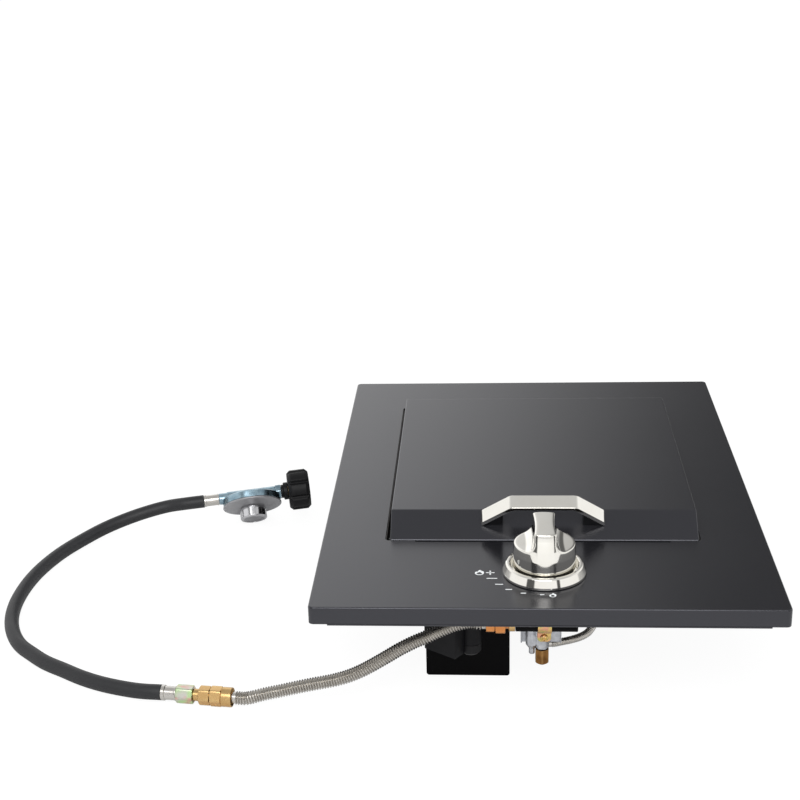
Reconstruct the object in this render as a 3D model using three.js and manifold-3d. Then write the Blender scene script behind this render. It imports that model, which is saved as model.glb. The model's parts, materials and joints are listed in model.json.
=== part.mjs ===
// A built-in gas side burner: a black sheet steel top with a hinged lid over the burner bowl, a knob with its
// valve underneath, a battery igniter, and the flexible gas line with its regulator.
// Millimetres. X runs to the right, Y to the back, Z up. The origin lies on the surface that the burner
// stands on, under the centre of the top panel.
import * as THREE from "three";
import { mergeVertices } from "three/addons/utils/BufferGeometryUtils.js";
import Module from "manifold-3d";

const wasm = await Module();
wasm.setup();

// Clearances and cutting
const gap = 0.3;
const runningGap = 0.4;
const overrun = 3;
const weldDistance = 0.0001;
const degree = Math.PI / 180;
const rightAngle = 90 * degree;

// Facets of round pieces
const roundSides = 20;
const smallSides = 10;
const largeSides = 28;
const cornerSteps = 3;
const scoopSteps = 6;

// Top panel
const panelWidth = 450;
const panelDepth = 620;
const panelTop = 140;
const panelSheet = 1.2;
const panelCorner = 5;
const lipHeight = 18;
const hemDrop = 1.5;
const hemWidth = 10;
const hemInset = 18;
const openingWidth = 320;
const openingSetback = 146.2;
const openingBackMargin = 91.8;
const openingCorner = 4;
const ventSlotWidth = 258;
const ventSlotDepth = 2.2;
const wellMargin = 3;

// Lid
const lidSideGap = 3.5;
const lidOffset = 1.5;
const lidFrontGap = 0.8;
const lidShortfall = 23;
const lidHeight = 20.5;
const lidSlopeRun = 30;
const lidDrop = 3;
const lidSheet = 1.2;

// Handle
const gripLength = 126;
const gripFlat = 67;
const gripWidth = 15.5;
const gripThickness = 5;
const gripRise = 35;
const gripEndRise = 6;
const gripUpSlope = 24.6;
const postWidth = 19;
const postDepth = 13;
const postInset = 3;
const handleScrewRadius = 2.2;
const handleScrewHeadRadius = 4.2;
const handleScrewHeadHeight = 2.5;
const handleScrewReach = 7;

// Lid hinge
const hingeBehindLid = 8;
const hingeAbovePanel = 6;
const hingeInset = 35;
const hingePinRadius = 2.5;
const hingePinHeadRadius = 4;
const hingePinHead = 1.5;
const hingePlate = 3;
const hingeEarRadius = 5.5;
const hingeFootLength = 15;
const hingeFootThickness = 2;

// Burner bowl
const bowlSheet = 1;
const bowlFlange = 12;
const ledgeDrop = 19;
const ledgeWidth = 11;
const bowlCorner = 14;
const wellCorner = 6;
const bowlFloorSideInset = 42;
const bowlFloorFrontInset = 78.8;
const bowlFloorBackInset = 36.2;

// Lid bumpers
const bumperRadius = 3.5;
const bumperSideInset = 6.2;
const bumperFrontInset = 14;

// Cooking grate
const grateBar = 5;
const grateSideClearance = 5;
const grateFrontInset = 22;
const grateBackInset = 28;
const grateFrameHeight = 12;
const grateTopAbovePanel = 6;
const grateRibHeight = 14;
const grateRibWidth = 6;
const grateRibInset = 1;
const grateRibs = 6;
const grateCornerShare = 0.3;

// Burner
const burnerSetback = 190.8;
const headBottom = 63;
const headRim = 98;
const headRadius = 50;
const headBaseRadius = 30;
const headWall = 4;
const headShoulder = 21;
const mixerRadius = 12;
const mixerBore = 9.5;
const mixerHeight = 76;
const mixerMouthInset = 6.8;
const mixerFlangeInset = 24.8;
const mixerFlange = 3;
const mixerArmOffset = 14.2;
const mixerArm = 3;
const mixerArmHeight = 12;
const jetPlateSetback = 1.2;
const jetPlate = 4;
const capRadius = 48;
const capHeight = 7;
const capCrown = 4;
const capShoulderShare = 0.75;
const capPorts = 20;
const capPortWidth = 2.4;
const capPortDepth = 7;
const capPortHeight = 3.4;
const burnerBracketWidth = 24;
const burnerBracketSpan = 100;
const burnerBracketSheet = 2;
const burnerBracketFoot = 12;
const burnerScrewRadius = 2.8;
const burnerScrewHeadRadius = 5;
const burnerScrewHead = 4;
const burnerScrewReach = 5;
const shutterWall = 1.3;
const shutterLength = 12;
const shutterWindow = 6;

// Gas jet
const jetHexFlats = 10;
const jetHexLength = 8;
const jetThreadRadius = 3;
const jetNoseLength = 6;
const jetBore = 1;

// Spark electrode and its lead
const electrodeOffset = 41;
const electrodeRadius = 3;
const electrodeBottom = 64;
const electrodeTop = 102;
const electrodeTipRadius = 0.8;
const electrodeTip = 10;
const electrodeLug = 4;
const electrodeLugRadius = 6;
const electrodeLugBottom = 84;
const leadRadius = 1.5;
const leadSides = 6;
const leadSteps = 34;
const leadHoleRadius = 3.5;
const leadShieldX = -76;
const leadShieldZ = 110;
const leadBowlX = -61;
const leadBowlZ = 91;
const leadExitShare = 0.58;

// Igniter module
const igniterX = -87.8;
const igniterForward = 14;
const igniterTurn = 54.6 * degree;
const igniterBottom = 50;
const igniterLength = 34;
const igniterWidth = 38;
const batteryTubeX = 26.2;
const batteryTubeY = -0.5;
const batteryTubeRadius = 10.5;
const batteryTubeBore = 8;
const batteryRadius = 7.2;
const batteryLength = 50;
const batteryNub = 1.5;
const batteryNubRadius = 2.7;
const batteryCapLength = 12;
const batteryCapRound = 3;
const batteryCapDrop = 3;

// Heat shield
const shieldLeft = -119;
const shieldWidth = 86;
const shieldSetback = 15.2;
const shieldSheet = 1.5;
const shieldFlange = 12;
const shieldCorner = 3;

// Knob, ring and stem
const knobToOpening = 71.2;
const stemHoleRadius = 7;
const ringRadius = 40.6;
const ringTopRadius = 37.8;
const ringHeight = 11.2;
const ringInnerRadius = 33.2;
const ringWall = 1.5;
const ringShoulder = 3;
const ringScrewOffset = 18;
const ringScrewRadius = 1.8;
const ringScrewHeadRadius = 3.4;
const ringScrewHead = 1.5;
const ringScrewLength = 8;
const knobLift = 7;
const knobHeight = 52.8;
const knobRadius = 30.4;
const knobWaistRadius = 30.2;
const knobShoulderRadius = 29.6;
const knobNeckRadius = 28.8;
const knobTopRadius = 27.6;
const knobWaistHeight = 24;
const knobShoulderHeight = 35;
const knobNeckHeight = 45;
const knobRound = 1;
const knobHollowRadius = 25;
const knobHollowDepth = 10;
const scoopFloor = 33;
const scoopCorner = 9;
const scoopWaist = 9.6;
const scoopFlare = 2.2;
const scoopHalfLength = 31;
const stemRadius = 4;
const stemTop = 168;
const stemBottom = 96;
const stemFlat = 2.4;
const knobBoreGap = 1.6;
const clipLength = 10;
const clipWall = 0.9;

// Gas valve
const valveRadius = 10;
const valveNeckRadius = 6.2;
const valveNeckX = -1.5;
const valveTop = 112;
const valveShoulder = 84;
const valveBottom = 56.3;
const valveBore = 6;
const valveBoreBottom = 78;
const valveLobeRadius = 6.5;
const valveLobeX = -11.6;
const valveLobeBottom = 50;
const valveLobeTaper = 5;
const valveLobeTipRadius = 3.1;
const valveLobeTop = 82;
const valvePadWidth = 13;
const valvePadBottom = 70;
const valvePadTop = 86;
const valveBossRadius = 5.5;
const valvePassage = 2.5;
const outletBehind = 16.3;
const outletZ = 52.1;
const outletBlockLeft = -7;
const outletBlockRight = 5.5;
const outletBlockDepth = 11;
const outletBlockHeight = 10;
const outletNeckHeight = 4.6;
const outletPassage = 1.6;
const outletPassageShare = 0.5;
const plugFlats = 13;
const plugHexBottom = 38;
const plugHexChamfer = 3;
const plugSpigotRadius = 4.5;
const plugSpigot = 7;
const coverRadius = 10;
const coverThickness = 3;
const conePlugRadius = 5.4;
const conePlugBottomRadius = 4.6;
const conePlugTop = 102;
const conePlugBottom = 79;
const conePlugSlot = 3;
const conePlugSlotDepth = 10;
const conePlugPort = 1.5;
const springRadius = 7.2;
const springWire = 1.2;
const stemWasherRadius = 8;
const stemWasherThickness = 1.5;
const stemWasherZ = 125;

// Valve hanger
const hangerLeft = -22.5;
const hangerRight = 18;
const hangerBottom = 57;
const hangerSheet = 1.2;
const hangerWing = 2.5;
const hangerWingTop = 120;
const hangerFlange = 14;

// Gas rail and inlet
const railForward = 23;
const railZ = 96.2;
const railLeft = -28.3;
const railRight = 32;
const railRadius = 8;
const railBore = 6;
const railCap = 3;
const railPort = 3;
const clampWidth = 13.4;
const clampSheet = 1.5;
const clampCorner = 4;
const clampTabBottom = 71;
const clampScrewZ = 75.6;
const clampScrewRadius = 1.8;
const clampScrewHeadRadius = 4;
const clampScrewHead = 2;
const clampScrewReach = 4;
const inletCollarRadius = 8;
const inletCollarEnd = -34.9;
const inletNeckRadius = 5.5;
const inletHexStart = -38.1;
const inletHexFlats = 20;
const inletHexEnd = -48;
const inletNoseRadius = 5.4;
const inletNose = 4;
const inletNutFlats = 17;
const inletNutEnd = -57;
const inletBore = 4;

// Ribbed gas connector
const flexCrest = 6.5;
const flexRoot = 5.3;
const flexBore = 4.6;
const flexRibs = 80;
const flexBoreRibs = 5;

// Ribbed outlet tube
const outletCrest = 4;
const outletRoot = 3.3;
const outletBore = 2.6;
const outletRibs = 72;
const outletBoreRibs = 2;

// Fittings between the connector and the hose
const lineX = -312.5;
const lineForward = 25;
const lineZ = 10.2;
const lineTurn = 6.2 * degree;
const flareNutLength = 22.5;
const flareNutCollar = 10.5;
const flareNutRadius = 10;
const flareNutFlats = 18.5;
const unionHexFlats = 17.6;
const unionHexLength = 11.5;
const unionNeck = 6;
const unionNeckRadius = 5;
const unionSpigot = 8;
const swivelFlats = 17;
const swivelLength = 17.7;
const hoseFerruleRadius = 7.6;
const hoseFerruleLength = 16;
const hoseTailRadius = 3.4;
const lineBore = 3;

// Rubber hose
const hoseRadius = 8;
const hoseSides = 12;
const hoseSteps = 36;
const hoseStraightShare = 1.4;

// Regulator
const regulatorX = -355.3;
const regulatorBehind = 418.9;
const regulatorZ = 35.4;
const regulatorYaw = 11 * degree;
const regulatorPitch = 3 * degree;
const regulatorTilt = 49.5 * degree;
const regulatorRim = 36.6;
const regulatorJointOffset = 12;
const regulatorRimThickness = 8.4;
const regulatorDishRadius = 27;
const regulatorDishOffset = 0.8;
const regulatorShoulderRadius = 34;
const regulatorShoulderOffset = 2.2;
const regulatorPipeRadius = 7.2;
const regulatorPipeLeft = -41;
const regulatorPipeRight = 38.2;
const regulatorHubRadius = 8;
const regulatorHubLeft = -30;
const regulatorHexFlats = 17;
const regulatorHexLength = 7;
const regulatorBore = 3.5;
const chamberRadius = 29;
const chamberDepth = 5;
const diaphragmThickness = 1;
const bonnetRim = 37.2;
const bonnetRimThickness = 2.2;
const bonnetShoulderRadius = 24;
const bonnetNeckRadius = 15.5;
const bonnetConeHeight = 3;
const bonnetNeckHeight = 3;
const bonnetBore = 12.5;
const bonnetCapRadius = 16.8;
const bonnetCapLength = 13.5;
const bonnetCapEnd = 32;
const regulatorFerruleRadius = 7.4;
const regulatorFerruleLength = 18.6;
const collarRadius = 11;
const collarStepRadius = 8.5;
const collarStepLength = 3;
const nutCentre = 61;
const nutLength = 27;
const nutRadius = 21.5;
const nutLobes = 8;
const nutLobeRadius = 5;
const nutLobeRing = 20.6;
const nutLobeInset = 3;
const nutLobeChamfer = 4;
const nutSocketRadius = 16;
const nutSocketDepth = 17;
const nutBackBore = 7;
const nippleRadius = 5.6;
const nippleNose = 4;
const nippleReach = 16;
const nippleBore = 2.5;

// Routes of the gas lines and of the spark lead: X, the distance behind the axis of the knob's stem, and Z
const flexRoute = [
  [-68.5, -23, 97], [-74, -23, 97.1], [-80, -23, 95.9], [-86.2, -23, 94.1], [-93, -23, 91.5],
  [-99.9, -23, 88.3], [-106.9, -23, 84.8], [-113.8, -23, 81.1], [-120.5, -23, 77.9], [-127.7, -23, 74.4],
  [-135.7, -23, 70], [-143.8, -23, 65.1], [-151.8, -23, 59.7], [-159.9, -23, 54.3], [-168.1, -23, 49],
  [-176.2, -23, 44], [-184.4, -23, 39.5], [-192.5, -23, 35.7], [-200.7, -23, 32.7], [-208.8, -23, 30.3],
  [-217, -23.1, 28.4], [-225.1, -23.2, 26.7], [-233.2, -23.3, 25], [-243.5, -23.6, 22.7],
  [-253.7, -24, 20.4], [-264, -24.6, 18.1], [-274.3, -25.2, 16.1], [-284.5, -26, 13.8], [-292, -26.6, 11.8],
];
const outletRoute = [
  [10.2, 16.3, 52.1], [13.4, 16.3, 52.6], [17, 16.3, 53.6], [21, 16.2, 54.6], [25.9, 15.9, 56],
  [30.9, 15.3, 57.9], [35.7, 14.4, 60.2], [40.1, 13.5, 63], [43.8, 12.8, 66.2], [46.6, 12.5, 70],
  [49, 12.2, 74.5], [51.8, 12.6, 82], [53.8, 14.6, 90], [53.6, 18, 97.5], [50.4, 21.8, 103.6],
  [44, 23.9, 106.8], [36, 24.8, 105.8], [28, 25.4, 101], [20, 26, 94], [12, 28.6, 87],
  [5.4, 33.4, 81.2], [1.4, 40, 77.5],
];
const hoseRoute = [
  [-404, -14.6, 9.6], [-419, -10.4, 8.6], [-450, 0, 8.2], [-476, 12.4, 8.2], [-502, 29, 8.2],
  [-525, 44, 8.2], [-545, 62, 8.2], [-560, 77, 8.2], [-571, 93, 8.2], [-582, 116, 8.2],
  [-590, 142, 8.2], [-594.5, 169, 8.2], [-596, 197, 8.2], [-594.5, 230, 8.2], [-589, 264, 8.2],
  [-576, 306, 8.4], [-557, 343, 9.2], [-536, 370, 12], [-512, 387.5, 16.5], [-487, 398.5, 21.5],
  [-461, 404.8, 26.4],
];
const leadRoute = [
  [-82, 32, 110], [-76, 41, 110], [-70, 55, 106], [-65, 75, 98], [-61, 97, 91], [-57, 120, 82],
  [-51, 155, 69], [-46, 185, 57], [-42, 208, 51], [-41, 219, 53], [-41, 221, 59],
];

// Places that several pieces share
const panelUnderside = panelTop - panelSheet;
const panelFront = -panelDepth / 2;
const openingFront = panelFront + openingSetback;
const openingBack = panelDepth / 2 - openingBackMargin;
const openingDepth = openingBack - openingFront;
const knobY = openingFront - knobToOpening;
const lidWidth = openingWidth - 2 * lidSideGap;
const lidFront = openingFront + lidFrontGap;
const lidBack = lidFront + openingDepth - lidShortfall;
const hingeSpread = lidWidth - 2 * hingeInset;
const lidSlope = Math.atan2(lidHeight, lidSlopeRun);
const ledgeTop = panelTop - ledgeDrop;
const hingeY = lidBack + hingeBehindLid;
const hingeZ = panelTop + hingeAbovePanel;
const bowlTop = panelUnderside - gap;
const wellHalfWidth = openingWidth / 2;
const wellFront = openingFront - wellMargin;
const wellBack = openingBack;
const burnerY = openingFront + burnerSetback;
const mixerMouthY = wellFront + mixerMouthInset;
const mixerFlangeY = wellFront + mixerFlangeInset;
const jetPlateY = wellFront - jetPlateSetback;
const shutterY = (mixerMouthY + mixerFlangeY - mixerFlange) / 2;
const electrodeX = -electrodeOffset;
const electrodeY = burnerY - electrodeOffset;
const shieldY = wellFront - bowlFlange - shieldSetback;
const igniterY = knobY - igniterForward;
const outletY = knobY + outletBehind;
const railY = knobY - railForward;
const lineY = knobY - lineForward;
const regulatorY = knobY + regulatorBehind;
const jointOffset = regulatorJointOffset;

// A closed geometry as a solid that can be joined and cut.
function solidOf(geometry) {
  const bare = new THREE.BufferGeometry();
  const source = geometry.index ? geometry.toNonIndexed() : geometry;
  bare.setAttribute("position", source.getAttribute("position"));
  const merged = mergeVertices(bare, weldDistance);
  const corners = merged.index.array;
  const kept = [];
  for (let i = 0; i < corners.length; i += 3) {
    const [a, b, c] = [corners[i], corners[i + 1], corners[i + 2]];
    if (a !== b && b !== c && c !== a) kept.push(a, b, c);
  }
  return new wasm.Manifold(new wasm.Mesh({
    numProp: 3,
    vertProperties: merged.attributes.position.array,
    triVerts: new Uint32Array(kept),
  }));
}

// A solid back as a geometry.
function geometryOf(solid) {
  const mesh = solid.getMesh();
  const geometry = new THREE.BufferGeometry();
  geometry.setAttribute("position", new THREE.BufferAttribute(new Float32Array(mesh.vertProperties), 3));
  geometry.setIndex(new THREE.BufferAttribute(new Uint32Array(mesh.triVerts), 1));
  return geometry;
}

function join(first, ...others) {
  return geometryOf(others.reduce((sum, other) => sum.add(solidOf(other)), solidOf(first)));
}

function cut(first, ...tools) {
  return geometryOf(tools.reduce((rest, tool) => rest.subtract(solidOf(tool)), solidOf(first)));
}

function meet(first, second) {
  return geometryOf(solidOf(first).intersect(solidOf(second)));
}

// A block between two corners.
function block(x0, x1, y0, y1, z0, z1) {
  return new THREE.BoxGeometry(x1 - x0, y1 - y0, z1 - z0)
    .translate((x0 + x1) / 2, (y0 + y1) / 2, (z0 + z1) / 2);
}

// A round bar that stands on z0 and reaches z1.
function bar(radius, z0, z1, sides = roundSides) {
  return new THREE.CylinderGeometry(radius, radius, z1 - z0, sides)
    .rotateX(rightAngle)
    .translate(0, 0, (z0 + z1) / 2);
}

// A round bar along X, and one along Y.
function barX(radius, x0, x1, sides = roundSides) {
  return bar(radius, x0, x1, sides).rotateY(rightAngle);
}

function barY(radius, y0, y1, sides = roundSides) {
  return bar(radius, -y1, -y0, sides).rotateX(rightAngle);
}

// A hexagonal bar along Z, measured across its flats.
function hexBar(flats, z0, z1) {
  return bar(flats / 2 / Math.cos(30 * degree), z0, z1, 6);
}

// A piece turned about Z from a profile of radius and height.
function turned(profile, sides = roundSides) {
  return new THREE.LatheGeometry(profile.map(([r, z]) => new THREE.Vector2(r, z)), sides).rotateX(rightAngle);
}

// A rectangle with round corners, as an outline.
function roundedRectangle(x0, x1, y0, y1, radius) {
  const outline = new THREE.Shape();
  outline.absarc(x1 - radius, y0 + radius, radius, -rightAngle, 0);
  outline.absarc(x1 - radius, y1 - radius, radius, 0, rightAngle);
  outline.absarc(x0 + radius, y1 - radius, radius, rightAngle, 2 * rightAngle);
  outline.absarc(x0 + radius, y0 + radius, radius, 2 * rightAngle, 3 * rightAngle);
  return outline;
}

// An outline raised from z0 to z1.
function slab(outline, z0, z1, steps = cornerSteps) {
  return new THREE.ExtrudeGeometry(outline, { depth: z1 - z0, bevelEnabled: false, curveSegments: steps })
    .translate(0, 0, z0);
}

// An outline of points, raised along Z.
function polygonSlab(points, z0, z1) {
  return slab(new THREE.Shape(points.map(([x, y]) => new THREE.Vector2(x, y))), z0, z1);
}

// An outline drawn in Y and Z, run along X.
function profileAlongX(points, x0, x1) {
  return polygonSlab(points, x0, x1).rotateY(rightAngle).rotateX(rightAngle);
}

// An outline drawn in X and Z, run along Y.
function profileAlongY(points, y0, y1) {
  return polygonSlab(points, -y1, -y0).rotateX(rightAngle);
}

// A closed skin over rings of points, all with the same number of points, and flat or joined ends.
function skin(rings, closed) {
  const count = rings[0].length;
  const positions = rings.flat().flatMap((p) => [p.x, p.y, p.z]);
  const faces = [];
  const last = closed ? rings.length : rings.length - 1;
  for (let i = 0; i < last; i += 1) {
    for (let j = 0; j < count; j += 1) {
      const a = i * count + j;
      const b = i * count + ((j + 1) % count);
      const c = ((i + 1) % rings.length) * count + ((j + 1) % count);
      const d = ((i + 1) % rings.length) * count + j;
      faces.push(a, b, c, a, c, d);
    }
  }
  for (let j = 1; !closed && j < count - 1; j += 1) {
    const top = (rings.length - 1) * count;
    faces.push(0, j + 1, j, top, top + j, top + j + 1);
  }
  const geometry = new THREE.BufferGeometry();
  geometry.setAttribute("position", new THREE.Float32BufferAttribute(positions, 3));
  geometry.setIndex(faces);
  return geometry;
}

// A rounded rectangle as a ring of points at one height.
function ringAt([x0, x1, y0, y1], radius, z) {
  return roundedRectangle(x0, x1, y0, y1, radius)
    .getPoints(cornerSteps)
    .filter((p, i, all) => i === 0 || p.distanceTo(all[i - 1]) > weldDistance)
    .map((p) => new THREE.Vector3(p.x, p.y, z));
}

// A smooth curve through points given as [x, y, z].
function curveThrough(points) {
  return new THREE.CatmullRomCurve3(points.map((p) => new THREE.Vector3(...p)), false, "centripetal");
}

// A plain round cord along a curve.
function cord(curve, radius, sides, steps) {
  const section = new THREE.Shape();
  for (let i = 0; i < sides; i += 1) {
    const angle = (2 * Math.PI * i) / sides;
    section[i ? "lineTo" : "moveTo"](radius * Math.cos(angle), radius * Math.sin(angle));
  }
  section.closePath();
  return new THREE.ExtrudeGeometry(section, { steps, bevelEnabled: false, extrudePath: curve });
}

// A route's points, moved from the stem's axis to the part's frame.
function fromStem(route) {
  return route.map(([x, behind, z]) => [x, knobY + behind, z]);
}

// A ribbed tube with a bore: two rings of eight points for each rib, and a ring of the bore every few ribs.
function ribbedTube(curve, ribs, boreRibs, crest, root, bore) {
  const sides = 8;
  const across = new THREE.Vector3(0, 1, 0);
  const ring = (t, radius) => {
    const along = curve.getTangentAt(t);
    const side = new THREE.Vector3().crossVectors(along, across).normalize();
    const up = new THREE.Vector3().crossVectors(along, side);
    const centre = curve.getPointAt(t);
    return Array.from({ length: sides }, (_, i) => {
      const angle = (2 * Math.PI * i) / sides;
      return centre.clone()
        .addScaledVector(side, radius * Math.cos(angle))
        .addScaledVector(up, radius * Math.sin(angle));
    });
  };
  const plainEnd = crest / curve.getLength();
  const rings = [ring(0, root)];
  for (let i = 0; i < ribs; i += 1) {
    const t = plainEnd + ((1 - 2 * plainEnd) * (i + 0.25)) / ribs;
    rings.push(ring(t, root), ring(t + ((1 - 2 * plainEnd) * 0.5) / ribs, crest));
  }
  rings.push(ring(1, root));
  for (let i = ribs; i > 0; i -= boreRibs) rings.push(ring(i / ribs, bore));
  rings.push(ring(0, bore));
  return skin(rings, true);
}

// Materials
function material(color, roughness, metalness) {
  return new THREE.MeshStandardMaterial({ color, roughness, metalness });
}

const blackEnamel = material(0x2a2a2c, 0.35, 0.3);
const blackSteel = material(0x0d0d0f, 0.5, 0.3);
const chrome = material(0xd8d8d6, 0.08, 1);
const stainless = material(0xa9a7a2, 0.25, 1);
const galvanised = material(0xb9bdc2, 0.4, 0.9);
const yellowZinc = material(0xc9a25a, 0.3, 0.9);
const brass = material(0xb98a3c, 0.3, 1);
const castAluminium = material(0xb4b6b8, 0.5, 0.9);
const castIron = material(0x1b1b1b, 0.8, 0.3);
const blackPlastic = material(0x161617, 0.55, 0);
const darkPlastic = material(0x2c2d2f, 0.5, 0);
const rubber = material(0x141517, 0.6, 0);
const ceramic = material(0xe9e6dd, 0.4, 0);
const greenZinc = material(0x9fb78c, 0.35, 0.8);
const zincCasting = material(0x8ea3ad, 0.4, 0.9);
const greyPaint = material(0x8d8d90, 0.45, 0.5);
const springSteel = material(0x8a8a8a, 0.35, 1);

const root = new THREE.Group();

function add(name, geometry, finish, group = root) {
  const mesh = new THREE.Mesh(geometry, finish);
  mesh.name = name;
  group.add(mesh);
  return mesh;
}

function groupAt(x, y, z, parent = root) {
  const group = new THREE.Group();
  group.position.set(x, y, z);
  parent.add(group);
  return group;
}

// The top: a plate with the cut-out and the vent slot, its lip, and a hem that is turned in under the lip.
function topPanel() {
  const half = panelWidth / 2;
  const back = panelDepth / 2;
  const lipBottom = panelTop - lipHeight;
  const hemBottom = lipBottom - hemDrop;
  const rim = (inset, z0, z1) => slab(
    roundedRectangle(-half + inset, half - inset, panelFront + inset, back - inset, panelCorner),
    z0, z1,
  );
  const tray = cut(rim(0, lipBottom, panelTop), rim(panelSheet, lipBottom - overrun, panelUnderside));
  const hems = [
    [-half + hemInset, half - hemInset, panelFront, panelFront + hemWidth, 0, 1],
    [-half + hemInset, half - hemInset, back - hemWidth, back, 0, -1],
    [-half, -half + hemWidth, panelFront + hemInset, back - hemInset, 1, 0],
    [half - hemWidth, half, panelFront + hemInset, back - hemInset, -1, 0],
  ].map(([x0, x1, y0, y1, dx, dy]) => {
    const hem = block(x0, x1, y0, y1, hemBottom, lipBottom + panelSheet);
    const inside = block(x0, x1, y0, y1, hemBottom + panelSheet, lipBottom + overrun)
      .translate(dx * panelSheet, dy * panelSheet, 0);
    return cut(hem, inside);
  });
  const opening = slab(roundedRectangle(-openingWidth / 2, openingWidth / 2, openingFront, openingBack,
    openingCorner), panelUnderside - overrun, panelTop + overrun);
  const slot = block(-ventSlotWidth / 2, ventSlotWidth / 2, openingFront - ventSlotDepth,
    openingFront + overrun, panelUnderside - overrun, panelTop + overrun);
  const stemHole = bar(stemHoleRadius, panelUnderside - overrun, panelTop + overrun, smallSides)
    .translate(0, knobY, 0);
  const screwHoles = [-1, 1].map((side) =>
    bar(ringScrewRadius + gap, panelUnderside - overrun, panelTop + overrun, smallSides)
      .translate(side * ringScrewOffset, knobY, 0));
  add("top_panel", cut(join(tray, ...hems), opening, slot, stemHole, ...screwHoles), blackEnamel);
}

// The bowl: a flange under the panel, an upright well, a ledge for the grate and a tapering lower part.
function burnerBowl() {
  const well = [-wellHalfWidth, wellHalfWidth, wellFront, wellBack];
  const ledge = [-wellHalfWidth + ledgeWidth, wellHalfWidth - ledgeWidth, wellFront + ledgeWidth,
    wellBack - ledgeWidth];
  const floor = [-wellHalfWidth + bowlFloorSideInset, wellHalfWidth - bowlFloorSideInset,
    wellFront + bowlFloorFrontInset, wellBack - bowlFloorBackInset];
  const grown = ([x0, x1, y0, y1], d) => [x0 - d, x1 + d, y0 - d, y1 + d];
  const plate = (sides, radius, z0, z1) => slab(roundedRectangle(...sides, radius), z0, z1);
  const taper = (d, z0, z1) => skin([
    ringAt(grown(floor, d), bowlCorner, z0), ringAt(grown(ledge, d), bowlCorner, z1),
  ], false);
  const outside = join(
    plate(grown(well, bowlFlange), bowlCorner, bowlTop - bowlSheet, bowlTop),
    plate(well, wellCorner, ledgeTop, bowlTop),
    taper(0, 0, ledgeTop + bowlSheet),
  );
  const inside = join(
    plate(grown(well, -bowlSheet), wellCorner, ledgeTop + bowlSheet, bowlTop + overrun),
    taper(-bowlSheet, bowlSheet, ledgeTop + bowlSheet + overrun),
  );
  const mixerHole = barY(mixerRadius + gap, wellFront, burnerY, roundSides).translate(0, 0, mixerHeight);
  const leadHole = barY(leadHoleRadius, wellFront, burnerY, smallSides).translate(leadBowlX, 0, leadBowlZ);
  add("burner_bowl", cut(outside, inside, mixerHole, leadHole), stainless);
}

// The lid: a shallow box, open below, with a sloping front, and two ears for the hinge.
function lidShell() {
  const half = lidWidth / 2;
  const low = panelTop - lidDrop;
  const high = panelTop + lidHeight;
  const t = lidSheet;
  const outside = profileAlongX([
    [lidFront, low], [lidBack, low], [lidBack, high], [lidFront + lidSlopeRun, high], [lidFront, panelTop],
  ], -half, half);
  const inside = profileAlongX([
    [lidFront + t, low - overrun], [lidBack - t, low - overrun], [lidBack - t, high - t],
    [lidFront + lidSlopeRun + t * Math.tan(lidSlope / 2), high - t],
    [lidFront + t, panelTop + t * Math.tan(lidSlope) - t / Math.cos(lidSlope)],
  ], -half + t, half - t);
  const ears = [-1, 1].map((side) => {
    const x0 = side * (hingeSpread / 2) - (side > 0 ? hingePlate : 0);
    const plate = join(
      barX(hingeEarRadius, x0, x0 + hingePlate, smallSides).translate(0, hingeY, hingeZ),
      block(x0, x0 + hingePlate, lidBack - t / 2, hingeY, hingeZ - hingeEarRadius, hingeZ + hingeEarRadius),
    );
    const hole = barX(hingePinRadius + gap, x0 - overrun, x0 + hingePlate + overrun, smallSides)
      .translate(0, hingeY, hingeZ);
    return cut(plate, hole);
  });
  const screwHoles = [-1, 1].map((side) => {
    const hole = bar(handleScrewRadius + gap, -overrun, overrun, smallSides);
    return placedOnSlope(hole.translate(side * postCentre(), gripUpSlope, 0));
  });
  return cut(join(cut(outside, inside), ...ears), ...screwHoles);
}

// Where the middle of a handle post stands, out from the middle of the handle.
function postCentre() {
  return gripLength / 2 - postInset - postWidth / 2;
}

// Moves a geometry from the slope's own frame, X across, Y up the slope and Z out of it, to the part's frame.
function placedOnSlope(geometry) {
  return geometry.rotateX(lidSlope).translate(0, lidFront, panelTop);
}

// The bent bar of the handle, seen from the front: X across and the height over the lid's sloping face.
function gripOutline() {
  const end = gripLength / 2;
  const flat = gripFlat / 2;
  const bend = Math.atan2(gripRise - gripEndRise, end - flat);
  const underFlat = flat - gripThickness * Math.tan(bend / 2);
  const underEnd = (x) => gripRise - gripThickness / Math.cos(bend) - (x - flat) * Math.tan(bend);
  return { end, flat, bend, underFlat, underEnd };
}

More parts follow.
